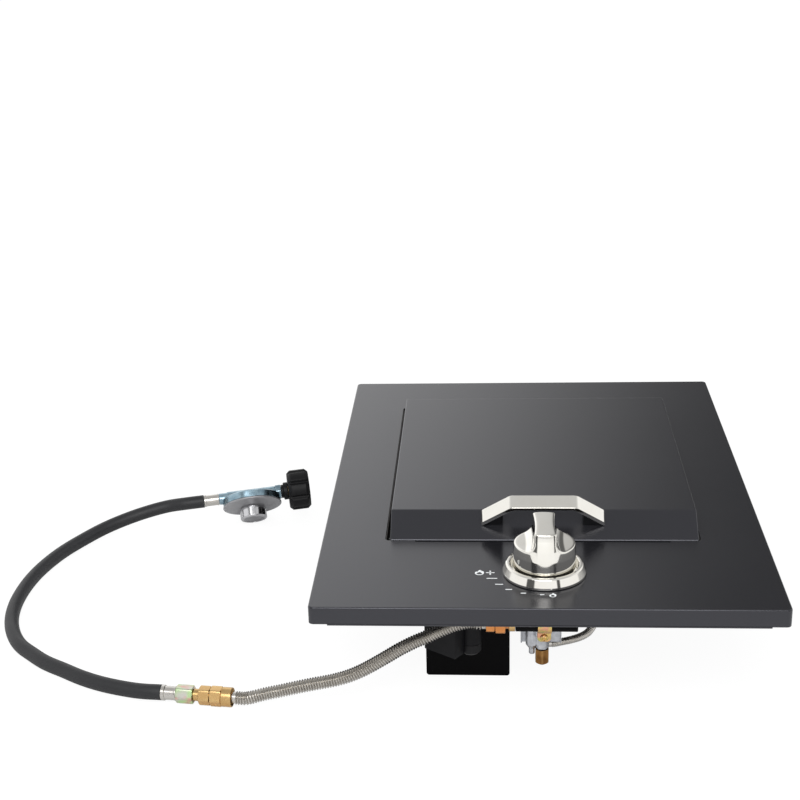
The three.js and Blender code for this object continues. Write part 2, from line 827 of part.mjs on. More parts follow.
function handle() {
  const { end, flat, underFlat, underEnd } = gripOutline();
  const group = groupAt(lidOffset, lidFront, panelTop);
  group.rotation.x = lidSlope;
  const underside = gripRise - gripThickness;
  const footX = flat + (underEnd(flat) - runningGap) * ((end - flat) / (gripRise - gripEndRise));
  const right = [[footX, runningGap], [end, runningGap], [end, gripEndRise], [flat, gripRise]];
  const left = right.map(([x, z]) => [-x, z]).reverse();
  const grip = profileAlongY([
    ...right, ...left, [-underFlat, underside], [underFlat, underside],
  ], gripUpSlope - gripWidth / 2, gripUpSlope + gripWidth / 2);
  add("handle_grip", grip, chrome, group);
  [["left", -1], ["right", 1]].forEach(([word, side]) => {
    const outer = end - postInset;
    const inner = outer - postWidth;
    const wedge = [
      [inner, gap], [outer, gap], [outer, Math.max(underEnd(outer) - gap, 2 * gap)],
      [inner, underEnd(inner) - runningGap],
    ];
    const outline = side > 0 ? wedge : wedge.map(([x, z]) => [-x, z]).reverse();
    const post = profileAlongY(outline, gripUpSlope - postDepth / 2, gripUpSlope + postDepth / 2);
    const place = (g) => g.translate(side * postCentre(), gripUpSlope, 0);
    const screwHole = place(bar(handleScrewRadius + gap, -overrun, handleScrewReach + gap, smallSides));
    add("handle_post_" + word, cut(post, screwHole), blackPlastic, group);
    const screw = join(
      bar(handleScrewRadius, -lidSheet - handleScrewHeadHeight, handleScrewReach, smallSides),
      bar(handleScrewHeadRadius, -lidSheet - gap - handleScrewHeadHeight, -lidSheet - gap, smallSides),
    );
    add("handle_screw_" + word, place(screw), stainless, group);
  });
}

// The fixed half of the lid hinge, on the bowl's ledge behind the lid.
function lidHinge() {
  const foot = ledgeTop + bowlSheet + gap;
  const back = wellBack - bowlSheet - gap;
  [["left", -1], ["right", 1]].forEach(([word, side]) => {
    const near = hingeSpread / 2 + runningGap;
    const far = near + hingePlate;
    const span = (a, b) => (side > 0 ? [a, b] : [-b, -a]);
    const [x0, x1] = span(near, far);
    const plate = join(
      barX(hingeEarRadius, x0, x1, smallSides).translate(0, hingeY, hingeZ),
      block(x0, x1, hingeY - hingeEarRadius, back, foot, hingeZ),
      block(...span(near, near + hingeFootLength), wellBack - ledgeWidth, back, foot,
        foot + hingeFootThickness),
    );
    const hole = barX(hingePinRadius + gap, x0 - overrun, x1 + overrun, smallSides)
      .translate(0, hingeY, hingeZ);
    add("hinge_bracket_" + word, cut(plate, hole).translate(lidOffset, 0, 0), stainless);
    const [p0, p1] = span(hingeSpread / 2 - hingePlate - runningGap, far + gap + hingePinHead);
    const [h0, h1] = span(far + gap, far + gap + hingePinHead);
    const pin = join(barX(hingePinRadius, p0, p1, smallSides), barX(hingePinHeadRadius, h0, h1, smallSides));
    add("hinge_pin_" + word, pin.translate(lidOffset, hingeY, hingeZ), stainless);
  });
}

// The rubber rests of the lid, on the ledge at its front corners.
function lidBumpers() {
  [["left", -1], ["right", 1]].forEach(([word, side]) => {
    const post = bar(bumperRadius, ledgeTop + bowlSheet + gap, panelTop - lidDrop - gap, smallSides);
    post.translate(side * (wellHalfWidth - bumperSideInset), wellFront + bumperFrontInset, 0);
    add("lid_bumper_" + word, post, rubber);
  });
}

// The cast grate: a frame on the ledge and ribs that carry the pot.
function cookingGrate() {
  const half = wellHalfWidth - bowlSheet - grateSideClearance;
  const front = wellFront + grateFrontInset;
  const back = wellBack - grateBackInset;
  const foot = ledgeTop + bowlSheet + gap;
  const top = panelTop + grateTopAbovePanel;
  const ends = [front, back - grateBar].map((y) => block(-half, half, y, y + grateBar, foot, top));
  const sides = [-half, half - grateBar].map((x) =>
    block(x, x + grateBar, front + grateRibInset, back - grateRibInset, foot, foot + grateFrameHeight));
  const pitch = (2 * half) / grateRibs;
  const ribs = Array.from({ length: grateRibs }, (_, i) => {
    const x = -half + pitch * (i + 0.5);
    return block(x - grateRibWidth / 2, x + grateRibWidth / 2, front + grateRibInset, back - grateRibInset,
      top - grateRibHeight, top);
  });
  const corner = pitch * grateCornerShare;
  const lowered = [[-half - overrun, -half + corner], [half - corner, half + overrun]].map(([x0, x1]) =>
    block(x0, x1, front - overrun, back + overrun, foot + grateFrameHeight, top + overrun));
  add("cooking_grate", join(cut(join(...ends), ...lowered), ...sides, ...ribs), castIron);
}

// The burner: the cast head with its mixing tube and jet holder, the cap, the bracket and the air shutter.
function burner() {
  const head = turned([
    [0, headBottom], [headBaseRadius, headBottom], [headRadius, headBottom + headShoulder],
    [headRadius, headRim], [0, headRim],
  ]);
  const headHollow = turned([
    [0, headBottom + headWall], [headBaseRadius - headWall, headBottom + headWall],
    [headRadius - headWall, headBottom + headShoulder], [headRadius - headWall, headRim + overrun],
    [0, headRim + overrun],
  ]);
  const onHead = (g) => g.translate(0, burnerY, 0);
  const tube = barY(mixerRadius, mixerMouthY, burnerY).translate(0, 0, mixerHeight);
  const flange = barY(mixerArmOffset + mixerArm, mixerFlangeY - mixerFlange, mixerFlangeY)
    .translate(0, 0, mixerHeight);
  const arms = [-1, 1].map((side) => {
    const x0 = side > 0 ? mixerArmOffset : -mixerArmOffset - mixerArm;
    return block(x0, x0 + mixerArm, jetPlateY - jetPlate, mixerFlangeY, mixerHeight - mixerArmHeight / 2,
      mixerHeight + mixerArmHeight / 2);
  });
  const jetHolder = block(-mixerArmOffset - mixerArm, mixerArmOffset + mixerArm, jetPlateY - jetPlate,
    jetPlateY, mixerHeight - mixerArmHeight / 2, mixerHeight + mixerArmHeight / 2);
  const lugSpan = Math.hypot(electrodeX, electrodeY - burnerY);
  const lugTurn = Math.atan2(electrodeY - burnerY, electrodeX);
  const lug = join(
    block(headRadius - headWall / 2, lugSpan, -electrodeLugRadius, electrodeLugRadius, electrodeLugBottom,
      electrodeLugBottom + electrodeLug),
    bar(electrodeLugRadius, electrodeLugBottom, electrodeLugBottom + electrodeLug, smallSides)
      .translate(lugSpan, 0, 0),
  );
  const body = cut(
    join(cut(join(onHead(head), tube), onHead(headHollow)), flange, ...arms, jetHolder,
      onHead(lug.rotateZ(lugTurn))),
    barY(mixerBore, mixerMouthY - overrun, burnerY).translate(0, 0, mixerHeight),
    barY(jetThreadRadius + gap, jetPlateY - jetPlate - overrun, jetPlateY + overrun, smallSides)
      .translate(0, 0, mixerHeight),
    bar(electrodeRadius + gap, electrodeLugBottom - overrun, electrodeLugBottom + electrodeLug + overrun,
      smallSides).translate(electrodeX, electrodeY, 0),
    onHead(bar(burnerScrewRadius + gap, headBottom - overrun, headBottom + headWall + overrun, smallSides)),
    block(-mixerRadius - overrun, mixerRadius + overrun, shutterY - shutterWindow / 2,
      shutterY + shutterWindow / 2, mixerHeight - shutterWindow / 2, mixerHeight + shutterWindow / 2),
  );
  add("burner_body", join(body, ...arms), castAluminium);

  const capBottom = headRim + gap;
  const cap = turned([
    [0, capBottom], [capRadius, capBottom], [capRadius, capBottom + capHeight - capCrown / 2],
    [capRadius * capShoulderShare, capBottom + capHeight], [0, capBottom + capHeight + capCrown],
  ]);
  const ports = Array.from({ length: capPorts }, (_, i) =>
    block(capRadius - capPortDepth, capRadius + overrun, -capPortWidth / 2, capPortWidth / 2,
      capBottom - overrun, capBottom + capPortHeight).rotateZ((2 * Math.PI * i) / capPorts));
  add("burner_cap", onHead(cut(cap, ...ports)), castIron);

  const bracketTop = headBottom - gap;
  const foot = bowlSheet + gap;
  const halfSpan = burnerBracketSpan / 2;
  const y0 = burnerY - burnerBracketWidth / 2;
  const y1 = burnerY + burnerBracketWidth / 2;
  const strap = join(
    block(-halfSpan, halfSpan, y0, y1, bracketTop - burnerBracketSheet, bracketTop),
    ...[-1, 1].flatMap((side) => {
      const span = (a, b) => (side > 0 ? [a, b] : [-b, -a]);
      return [
        block(...span(halfSpan - burnerBracketSheet, halfSpan), y0, y1, foot, bracketTop),
        block(...span(halfSpan - burnerBracketSheet, halfSpan + burnerBracketFoot), y0, y1, foot,
          foot + burnerBracketSheet),
      ];
    }),
  );
  const strapHole = bar(burnerScrewRadius + gap, bracketTop - burnerBracketSheet - overrun,
    bracketTop + overrun, smallSides);
  add("burner_bracket", cut(strap, onHead(strapHole)), stainless);

  const screwSeat = bracketTop - burnerBracketSheet - gap;
  const screw = join(
    bar(burnerScrewRadius, screwSeat - burnerScrewHead, headBottom + burnerScrewReach, smallSides),
    bar(burnerScrewHeadRadius, screwSeat - burnerScrewHead, screwSeat, 6),
  );
  add("burner_screw", onHead(screw), stainless);

  const shutter = cut(
    barY(mixerRadius + gap + shutterWall, shutterY - shutterLength / 2, shutterY + shutterLength / 2),
    barY(mixerRadius + gap, shutterY - shutterLength / 2 - overrun, shutterY + shutterLength / 2 + overrun),
    block(-mixerRadius - overrun, mixerRadius + overrun, -shutterWindow / 2, shutterWindow / 2,
      -shutterWindow / 2, shutterWindow / 2).translate(0, shutterY, 0),
  );
  add("air_shutter", shutter.translate(0, 0, mixerHeight), stainless);

  const jetSeat = jetPlateY - jetPlate - gap;
  const jet = cut(
    join(
      hexBar(jetHexFlats, -jetSeat, -jetSeat + jetHexLength).rotateX(rightAngle),
      barY(jetThreadRadius, jetSeat - overrun, jetPlateY + jetNoseLength, smallSides),
    ),
    barY(jetBore, jetSeat - jetHexLength - overrun, jetPlateY + jetNoseLength + overrun, smallSides),
  );
  add("gas_orifice", jet.translate(0, 0, mixerHeight), brass);
}

// The spark electrode beside the burner head, and its lead to the igniter.
function sparkSet() {
  const electrode = join(
    bar(electrodeRadius, electrodeBottom, electrodeTop, smallSides),
    bar(electrodeTipRadius, electrodeTop - overrun, electrodeTop + electrodeTip, smallSides),
  );
  add("spark_electrode", electrode.translate(electrodeX, electrodeY, 0), ceramic);
  const start = new THREE.Vector3(igniterLength + gap, igniterWidth * leadExitShare, 0)
    .applyAxisAngle(new THREE.Vector3(0, 0, 1), igniterTurn)
    .add(new THREE.Vector3(igniterX, igniterY, leadShieldZ));
  const end = [electrodeX, electrodeY, electrodeBottom - gap];
  const curve = curveThrough([start.toArray(), ...fromStem(leadRoute), end]);
  add("spark_wire", cord(curve, leadRadius, leadSides, leadSteps), blackPlastic);
}

// The battery igniter under the panel: a box with a battery tube at its corner, and the tube's screw cap.
function igniter() {
  const group = groupAt(igniterX, igniterY, 0);
  group.rotation.z = igniterTurn;
  const top = bowlTop;
  const capBottom = igniterBottom - batteryCapDrop;
  const capTop = capBottom + batteryCapLength;
  const box = cut(
    block(0, igniterLength, 0, igniterWidth, igniterBottom, top),
    bar(batteryTubeRadius + gap, igniterBottom - overrun, capTop + gap, roundSides)
      .translate(batteryTubeX, batteryTubeY, 0),
  );
  const tube = bar(batteryTubeRadius, capTop + gap, top).translate(batteryTubeX, batteryTubeY, 0);
  const bore = bar(batteryTubeBore, capTop - overrun, capTop + batteryLength + 2 * batteryTubeBore)
    .translate(batteryTubeX, batteryTubeY, 0);
  add("igniter_module", cut(join(box, tube), bore), darkPlastic, group);
  const battery = join(
    bar(batteryRadius, capTop + gap, capTop + gap + batteryLength, smallSides),
    bar(batteryNubRadius, capTop + gap, capTop + gap + batteryLength + batteryNub, smallSides),
  );
  add("battery", battery.translate(batteryTubeX, batteryTubeY, 0), zincCasting, group);
  const cap = turned([
    [0, capBottom], [batteryTubeRadius - batteryCapRound, capBottom],
    [batteryTubeRadius, capBottom + batteryCapRound], [batteryTubeRadius, capTop], [0, capTop],
  ]);
  add("battery_cap", cap.translate(batteryTubeX, batteryTubeY, 0), blackPlastic, group);
}

// The plate that hangs between the bowl and the igniter.
function heatShield() {
  const right = shieldLeft + shieldWidth;
  const top = bowlTop;
  const y0 = shieldY - shieldSheet / 2;
  const y1 = shieldY + shieldSheet / 2;
  const face = slab(roundedRectangle(shieldLeft, right, 0, top, shieldCorner), -y1, -y0).rotateX(rightAngle);
  const flange = block(shieldLeft + shieldCorner, right - shieldCorner, y0, y1 + shieldFlange,
    top - shieldSheet, top);
  const hole = barY(leadHoleRadius, y0 - overrun, y1 + overrun, smallSides)
    .translate(leadShieldX, 0, leadShieldZ);
  add("heat_shield", cut(join(face, flange), hole), blackSteel);
}

// The polished ring round the knob, and its two screws.
function knobRing() {
  const z = (height) => panelTop + height;
  const ring = turned([
    [stemHoleRadius, z(gap)], [ringRadius, z(gap)], [ringRadius, z(ringShoulder)],
    [ringTopRadius, z(ringHeight - ringShoulder / 3)], [ringTopRadius - ringShoulder / 2, z(ringHeight)],
    [ringInnerRadius + ringShoulder / 3, z(ringHeight)], [ringInnerRadius, z(ringHeight - ringShoulder / 3)],
    [ringInnerRadius - ringShoulder / 3, z(ringWall + gap)], [stemHoleRadius, z(ringWall + gap)],
    [stemHoleRadius, z(gap)],
  ]);
  const holes = [-1, 1].map((side) =>
    bar(ringScrewRadius + gap, panelTop - overrun, panelTop + overrun, smallSides)
      .translate(side * ringScrewOffset, 0, 0));
  add("knob_bezel", cut(ring, ...holes).translate(0, knobY, 0), chrome);
  [["left", -1], ["right", 1]].forEach(([word, side]) => {
    const seat = z(ringWall + 2 * gap);
    const screw = join(
      bar(ringScrewRadius, seat - ringScrewLength, seat + ringScrewHead, smallSides),
      bar(ringScrewHeadRadius, seat, seat + ringScrewHead, smallSides),
    );
    add("bezel_screw_" + word, screw.translate(side * ringScrewOffset, knobY, 0), stainless);
  });
}

// The knob: a turned body with a round-cornered scoop on each side, which leaves the bar that is gripped.
function knob() {
  const z = (height) => panelTop + height;
  const body = turned([
    [0, z(knobLift)], [knobRadius, z(knobLift)], [knobWaistRadius, z(knobWaistHeight)],
    [knobShoulderRadius, z(knobShoulderHeight)], [knobNeckRadius, z(knobNeckHeight)],
    [knobTopRadius, z(knobHeight - knobRound)], [knobTopRadius - knobRound, z(knobHeight)],
    [0, z(knobHeight)],
  ], largeSides);
  const scoop = skin(Array.from({ length: scoopSteps + 1 }, (_, i) => {
    const along = (2 * i) / scoopSteps - 1;
    const inner = scoopWaist + scoopFlare * along * along;
    const section = [inner, inner + knobRadius, scoopFloor, scoopFloor + knobHeight];
    return ringAt(section, scoopCorner, scoopHalfLength * along);
  }), false).rotateX(rightAngle).translate(0, 0, panelTop);
  const scoops = [scoop, scoop.clone().rotateZ(2 * rightAngle)];
  const hollow = bar(knobHollowRadius, z(knobLift - overrun), z(knobLift + knobHollowDepth));
  const bore = bar(stemRadius + knobBoreGap, z(0), stemTop + gap, smallSides);
  add("control_knob", cut(body, ...scoops, hollow, bore).translate(0, knobY, 0), chrome);
  const clipRadius = stemRadius + knobBoreGap - gap;
  const clip = cut(
    bar(clipRadius, stemTop - clipLength, stemTop - gap, smallSides),
    bar(clipRadius - clipWall, stemTop - clipLength - overrun, stemTop + overrun, smallSides),
    block(0, clipRadius + overrun, -clipWall, clipWall, stemTop - clipLength - overrun, stemTop + overrun),
  );
  add("knob_clip", clip.translate(0, knobY, 0), springSteel);
}

// The stem that the knob pushes and turns, its washer and its return spring.
function stemSet() {
  const coverTop = valveTop + gap + coverThickness;
  const stem = join(
    bar(stemRadius, stemBottom + conePlugSlotDepth, stemTop, smallSides),
    block(-stemRadius + gap, stemRadius - gap, -stemFlat / 2, stemFlat / 2, stemBottom,
      stemBottom + conePlugSlotDepth + gap),
  );
  const groove = cut(
    bar(stemRadius + overrun, stemWasherZ - gap, stemWasherZ + stemWasherThickness + gap, smallSides),
    bar(stemRadius - 2 * gap, stemWasherZ - overrun, stemWasherZ + stemWasherThickness + overrun,
      smallSides),
  );
  add("valve_stem", cut(stem, groove).translate(0, knobY, 0), brass);
  const washer = cut(
    bar(stemWasherRadius, stemWasherZ, stemWasherZ + stemWasherThickness, smallSides),
    bar(stemRadius, stemWasherZ - overrun, stemWasherZ + stemWasherThickness + overrun, smallSides),
  );
  add("stem_washer", washer.translate(0, knobY, 0), stainless);
  const spring = cut(
    bar(springRadius, coverTop + gap, stemWasherZ - gap, smallSides),
    bar(springRadius - springWire, coverTop - overrun, stemWasherZ + overrun, smallSides),
  );
  add("stem_spring", spring.translate(0, knobY, 0), springSteel);
}

// The valve: the die-cast body, the cone that turns in it, its cover, and the hexagonal plug below.
function valve() {
  const onStem = (g) => g.translate(0, knobY, 0);
  const railBack = railY + railRadius - knobY;
  const padFront = railBack + clampSheet + 2 * gap;
  const lobeShoulder = valveBottom + valveLobeTaper;
  const outside = join(
    bar(valveRadius, valveShoulder, valveTop),
    bar(valveNeckRadius, valveBottom, valveShoulder + overrun, smallSides).translate(valveNeckX, 0, 0),
    turned([
      [0, valveLobeBottom], [valveLobeTipRadius, valveLobeBottom], [valveLobeTipRadius, valveBottom],
      [valveLobeRadius, lobeShoulder], [valveLobeRadius, valveLobeTop], [0, valveLobeTop],
    ], smallSides).translate(valveLobeX, 0, 0),
    block(valveLobeX, valveNeckX, -valveLobeTipRadius, valveLobeTipRadius, lobeShoulder, valveLobeTop),
    block(-valvePadWidth / 2, valvePadWidth / 2, padFront, 0, valvePadBottom, valvePadTop),
    barY(valveBossRadius, railBack - overrun, 0, smallSides).translate(0, 0, railZ),
    block(outletBlockLeft, outletBlockRight, 0, outletY - knobY + outletBlockDepth / 2, valveBottom,
      valveBottom + outletNeckHeight),
    block(outletBlockLeft, outletBlockRight, outletY - knobY - outletBlockDepth / 2,
      outletY - knobY + outletBlockDepth / 2, outletZ - outletBlockHeight / 2,
      valveBottom + outletNeckHeight),
  );
  const passageZ = valveBottom + outletPassageShare * outletNeckHeight;
  const body = cut(
    outside,
    barX(railRadius + gap, -clampWidth, clampWidth).translate(0, railY - knobY, railZ),
    bar(valveBore, valveBoreBottom, valveTop + overrun, smallSides),
    barY(valvePassage, railY - knobY, 0, smallSides).translate(0, 0, railZ),
    barY(clampScrewRadius + gap, padFront - overrun, padFront + clampScrewReach + gap, smallSides)
      .translate(0, 0, clampScrewZ),
    bar(plugSpigotRadius + gap, valveBottom - overrun, valveBottom + plugSpigot + gap, smallSides)
      .translate(valveNeckX, 0, 0),
    bar(valvePassage, valveBottom + plugSpigot, valveBoreBottom + overrun, smallSides),
    barX(outletPassage, valveNeckX - overrun, outletBlockRight + overrun, smallSides)
      .translate(0, outletY - knobY, outletZ),
    barY(outletPassage, 0, outletY - knobY, smallSides).translate(valveNeckX, 0, passageZ),
    bar(outletPassage, outletZ, passageZ, smallSides).translate(valveNeckX, outletY - knobY, 0),
  );
  add("valve_body", onStem(body), castAluminium);

  const spigotTop = valveBottom + plugSpigot;
  const plug = join(
    meet(
      hexBar(plugFlats, plugHexBottom, valveBottom - gap),
      turned([
        [0, plugHexBottom], [plugFlats / 2 - plugHexChamfer / 2, plugHexBottom],
        [plugFlats / 2 + plugHexChamfer / 2, plugHexBottom + plugHexChamfer],
        [plugFlats / 2 + plugHexChamfer / 2, valveBottom - gap], [0, valveBottom - gap],
      ]),
    ),
    bar(plugSpigotRadius, valveBottom - overrun, spigotTop, smallSides),
  );
  const throat = bar(valvePassage, valveBottom - gap, spigotTop + overrun, smallSides);
  const sidePort = barY(valvePassage / 2, 0, plugSpigotRadius + overrun, smallSides)
    .translate(0, 0, valveBottom + plugSpigot / 2);
  add("bottom_plug", onStem(cut(plug, throat, sidePort)).translate(valveNeckX, 0, 0), brass);

  const cone = cut(
    turned([[0, conePlugBottom], [conePlugBottomRadius, conePlugBottom], [conePlugRadius, conePlugTop],
      [0, conePlugTop]], smallSides),
    block(-conePlugRadius - overrun, conePlugRadius + overrun, -conePlugSlot / 2, conePlugSlot / 2,
      conePlugTop - conePlugSlotDepth, conePlugTop + overrun),
    bar(conePlugPort, conePlugBottom - overrun, conePlugTop, smallSides),
  );
  add("gas_plug", onStem(cone), brass);

  const cover = cut(
    bar(coverRadius, valveTop + gap, valveTop + gap + coverThickness),
    bar(stemRadius + gap, valveTop - overrun, valveTop + coverThickness + overrun, smallSides),
  );
  add("valve_cover", onStem(cover), galvanised);
}

// The galvanised hanger that carries the valve from the panel.
function valveHanger() {
  const front = knobY + valveRadius + gap;
  const top = bowlTop;
  const back = front + hangerSheet;
  const wing = (x) => block(x, x + hangerSheet, front - hangerWing, back, hangerBottom, hangerWingTop);
  const hanger = join(
    block(hangerLeft, hangerRight, front, back, hangerBottom, top),
    block(hangerLeft, hangerRight, front, back + hangerFlange, top - hangerSheet, top),
    wing(hangerLeft),
    wing(hangerRight - hangerSheet),
  );
  const notch = block(outletBlockLeft - gap, outletBlockRight + gap, front - overrun, back + overrun,
    hangerBottom - overrun, valveBottom + outletNeckHeight + gap);
  add("valve_bracket", cut(hanger, notch), galvanised);
}

// The gas rail, the saddle clamp that holds the valve on it, and the gas inlet at its left end.
function railSet() {
  const onRail = (g) => g.translate(0, railY, railZ);
  const rail = cut(
    barX(railRadius, railLeft, railRight),
    barX(railBore, railLeft - overrun, railRight - railCap),
    barY(railPort, 0, railRadius + overrun, smallSides),
  );
  add("gas_rail", onRail(rail), blackSteel);

  const inner = railRadius + gap;
  const outer = inner + clampSheet;
  const tabBack = railRadius + clampSheet + gap;
  const arch = (radius) => Array.from({ length: roundSides / 2 + 1 }, (_, i) => {
    const angle = rightAngle + (Math.PI * i) / (roundSides / 2);
    return [radius * Math.cos(angle), radius * Math.sin(angle)];
  });
  const strip = profileAlongX([
    [railRadius / 2, outer], ...arch(outer), [tabBack - clampSheet, -outer],
    [tabBack - clampSheet, clampTabBottom - railZ], [tabBack, clampTabBottom - railZ], [tabBack, -inner],
    ...arch(inner).reverse(), [railRadius / 2, inner],
  ], -clampWidth / 2, clampWidth / 2);
  const screwHole = barY(clampScrewRadius + gap, 0, tabBack + overrun, smallSides)
    .translate(0, 0, clampScrewZ - railZ);
  const tabReach = railZ - clampTabBottom;
  const frontView = slab(
    roundedRectangle(-clampWidth / 2, clampWidth / 2, tabReach - clampWidth, tabReach, clampCorner),
    -outer - overrun, outer + overrun,
  ).rotateX(-rightAngle);
  const tab = meet(strip, frontView);
  const saddle = cut(strip, block(-clampWidth, clampWidth, -outer - overrun, outer + overrun,
    clampTabBottom - railZ - overrun, clampTabBottom - railZ + clampCorner));
  add("valve_clamp", onRail(cut(join(saddle, tab), screwHole)), yellowZinc);

  const tabFront = railY + tabBack - clampSheet;
  const screw = join(
    barY(clampScrewHeadRadius, tabFront - gap - clampScrewHead, tabFront - gap, smallSides),
    barY(clampScrewRadius, tabFront - gap - clampScrewHead, tabFront + clampSheet + clampScrewReach,
      smallSides),
  );
  add("clamp_screw", screw.translate(0, 0, clampScrewZ), yellowZinc);

  const alongX = (g) => g.rotateY(rightAngle);
  const fitting = cut(
    join(
      barX(inletCollarRadius, inletCollarEnd, railLeft - gap),
      barX(inletNeckRadius, inletHexStart - gap, inletCollarEnd + gap),
      alongX(hexBar(inletHexFlats, inletHexEnd, inletHexStart)),
      barX(inletNoseRadius, inletHexEnd - inletNose, inletHexEnd + gap, smallSides),
    ),
    barX(inletBore, inletHexEnd - inletNose - overrun, railLeft + overrun, smallSides),
  );
  add("inlet_fitting", onRail(fitting), brass);
  const nut = cut(
    alongX(hexBar(inletNutFlats, inletNutEnd, inletHexEnd - gap)),
    barX(inletNoseRadius + gap, inletHexEnd - inletNose - gap, railLeft, smallSides),
    barX(inletBore, inletNutEnd - overrun, railLeft, smallSides),
  );
  add("inlet_nut", onRail(nut), brass);
}

// The small ribbed tube from the valve to the gas jet.
function outletTube() {
  const jetFace = jetPlateY - jetPlate - jetHexLength - 2 * gap;
  const curve = curveThrough([
    [outletBlockRight + gap, outletY, outletZ], ...fromStem(outletRoute),
    [0, jetFace - 2 * outletCrest, mixerHeight], [0, jetFace, mixerHeight],
  ]);
  const tube = ribbedTube(curve, outletRibs, outletBoreRibs, outletCrest, outletRoot, outletBore);
  add("outlet_tube", tube, stainless);
}

// The line of fittings between the connector and the hose. In its own frame it runs from the connector
// along -X.
function gasLine() {
  const lineReach = flareNutLength + unionHexLength + unionNeck + unionSpigot + overrun;
  const group = groupAt(lineX, lineY, lineZ);
  group.rotation.z = -lineTurn;
  const alongX = (g) => g.rotateY(rightAngle);
  const bore = barX(lineBore, -lineReach, overrun, smallSides);
  const nutEnd = -flareNutLength;
  const flareNut = cut(join(
    barX(flareNutRadius, -flareNutCollar, 0),
    alongX(hexBar(flareNutFlats, nutEnd, -flareNutCollar + gap)),
  ), bore);
  add("flare_nut", flareNut, brass, group);
  const hexStart = nutEnd - gap;
  const hexEnd = hexStart - unionHexLength;
  const neckEnd = hexEnd - unionNeck;
  const union = cut(join(
    alongX(hexBar(unionHexFlats, hexEnd, hexStart)),
    barX(unionNeckRadius, neckEnd - unionSpigot, hexEnd + gap, smallSides),
  ), bore);
  add("hex_union", union, brass, group);
  const swivelStart = neckEnd - gap;
  const swivelEnd = swivelStart - swivelLength;
  const swivel = cut(
    alongX(hexBar(swivelFlats, swivelEnd, swivelStart)),
    barX(unionNeckRadius + runningGap, neckEnd - unionSpigot - runningGap, overrun, smallSides),
    barX(hoseTailRadius + runningGap, swivelEnd - overrun, swivelStart, smallSides),
  );
  add("swivel_nut", swivel, greenZinc, group);
  const ferruleStart = swivelEnd - gap;
  const ferruleEnd = ferruleStart - hoseFerruleLength;
  const ferrule = cut(join(
    barX(hoseFerruleRadius, ferruleEnd, ferruleStart),
    barX(hoseTailRadius, ferruleStart - gap, neckEnd - unionSpigot - runningGap - gap, smallSides),
  ), barX(hoseTailRadius / 2, ferruleEnd - overrun, overrun, smallSides));
  add("hose_ferrule", ferrule, stainless, group);
  const along = (distance) => new THREE.Vector3(-distance, 0, 0)
    .applyAxisAngle(new THREE.Vector3(0, 0, 1), -lineTurn)
    .add(group.position);
  return { nutFace: along, hoseStart: -ferruleEnd + gap };
}

// The ribbed connector, from the inlet nut to the flare nut.
function flexConnector(line) {
  const curve = curveThrough([
    [inletNutEnd - gap, railY, railZ],
    [inletNutEnd - gap - flexCrest, railY, railZ],
    ...fromStem(flexRoute),
    line.nutFace(-gap - 2 * flexCrest).toArray(),
    line.nutFace(-gap).toArray(),
  ]);
  add("flex_connector", ribbedTube(curve, flexRibs, flexBoreRibs, flexCrest, flexRoot, flexBore), stainless);
}

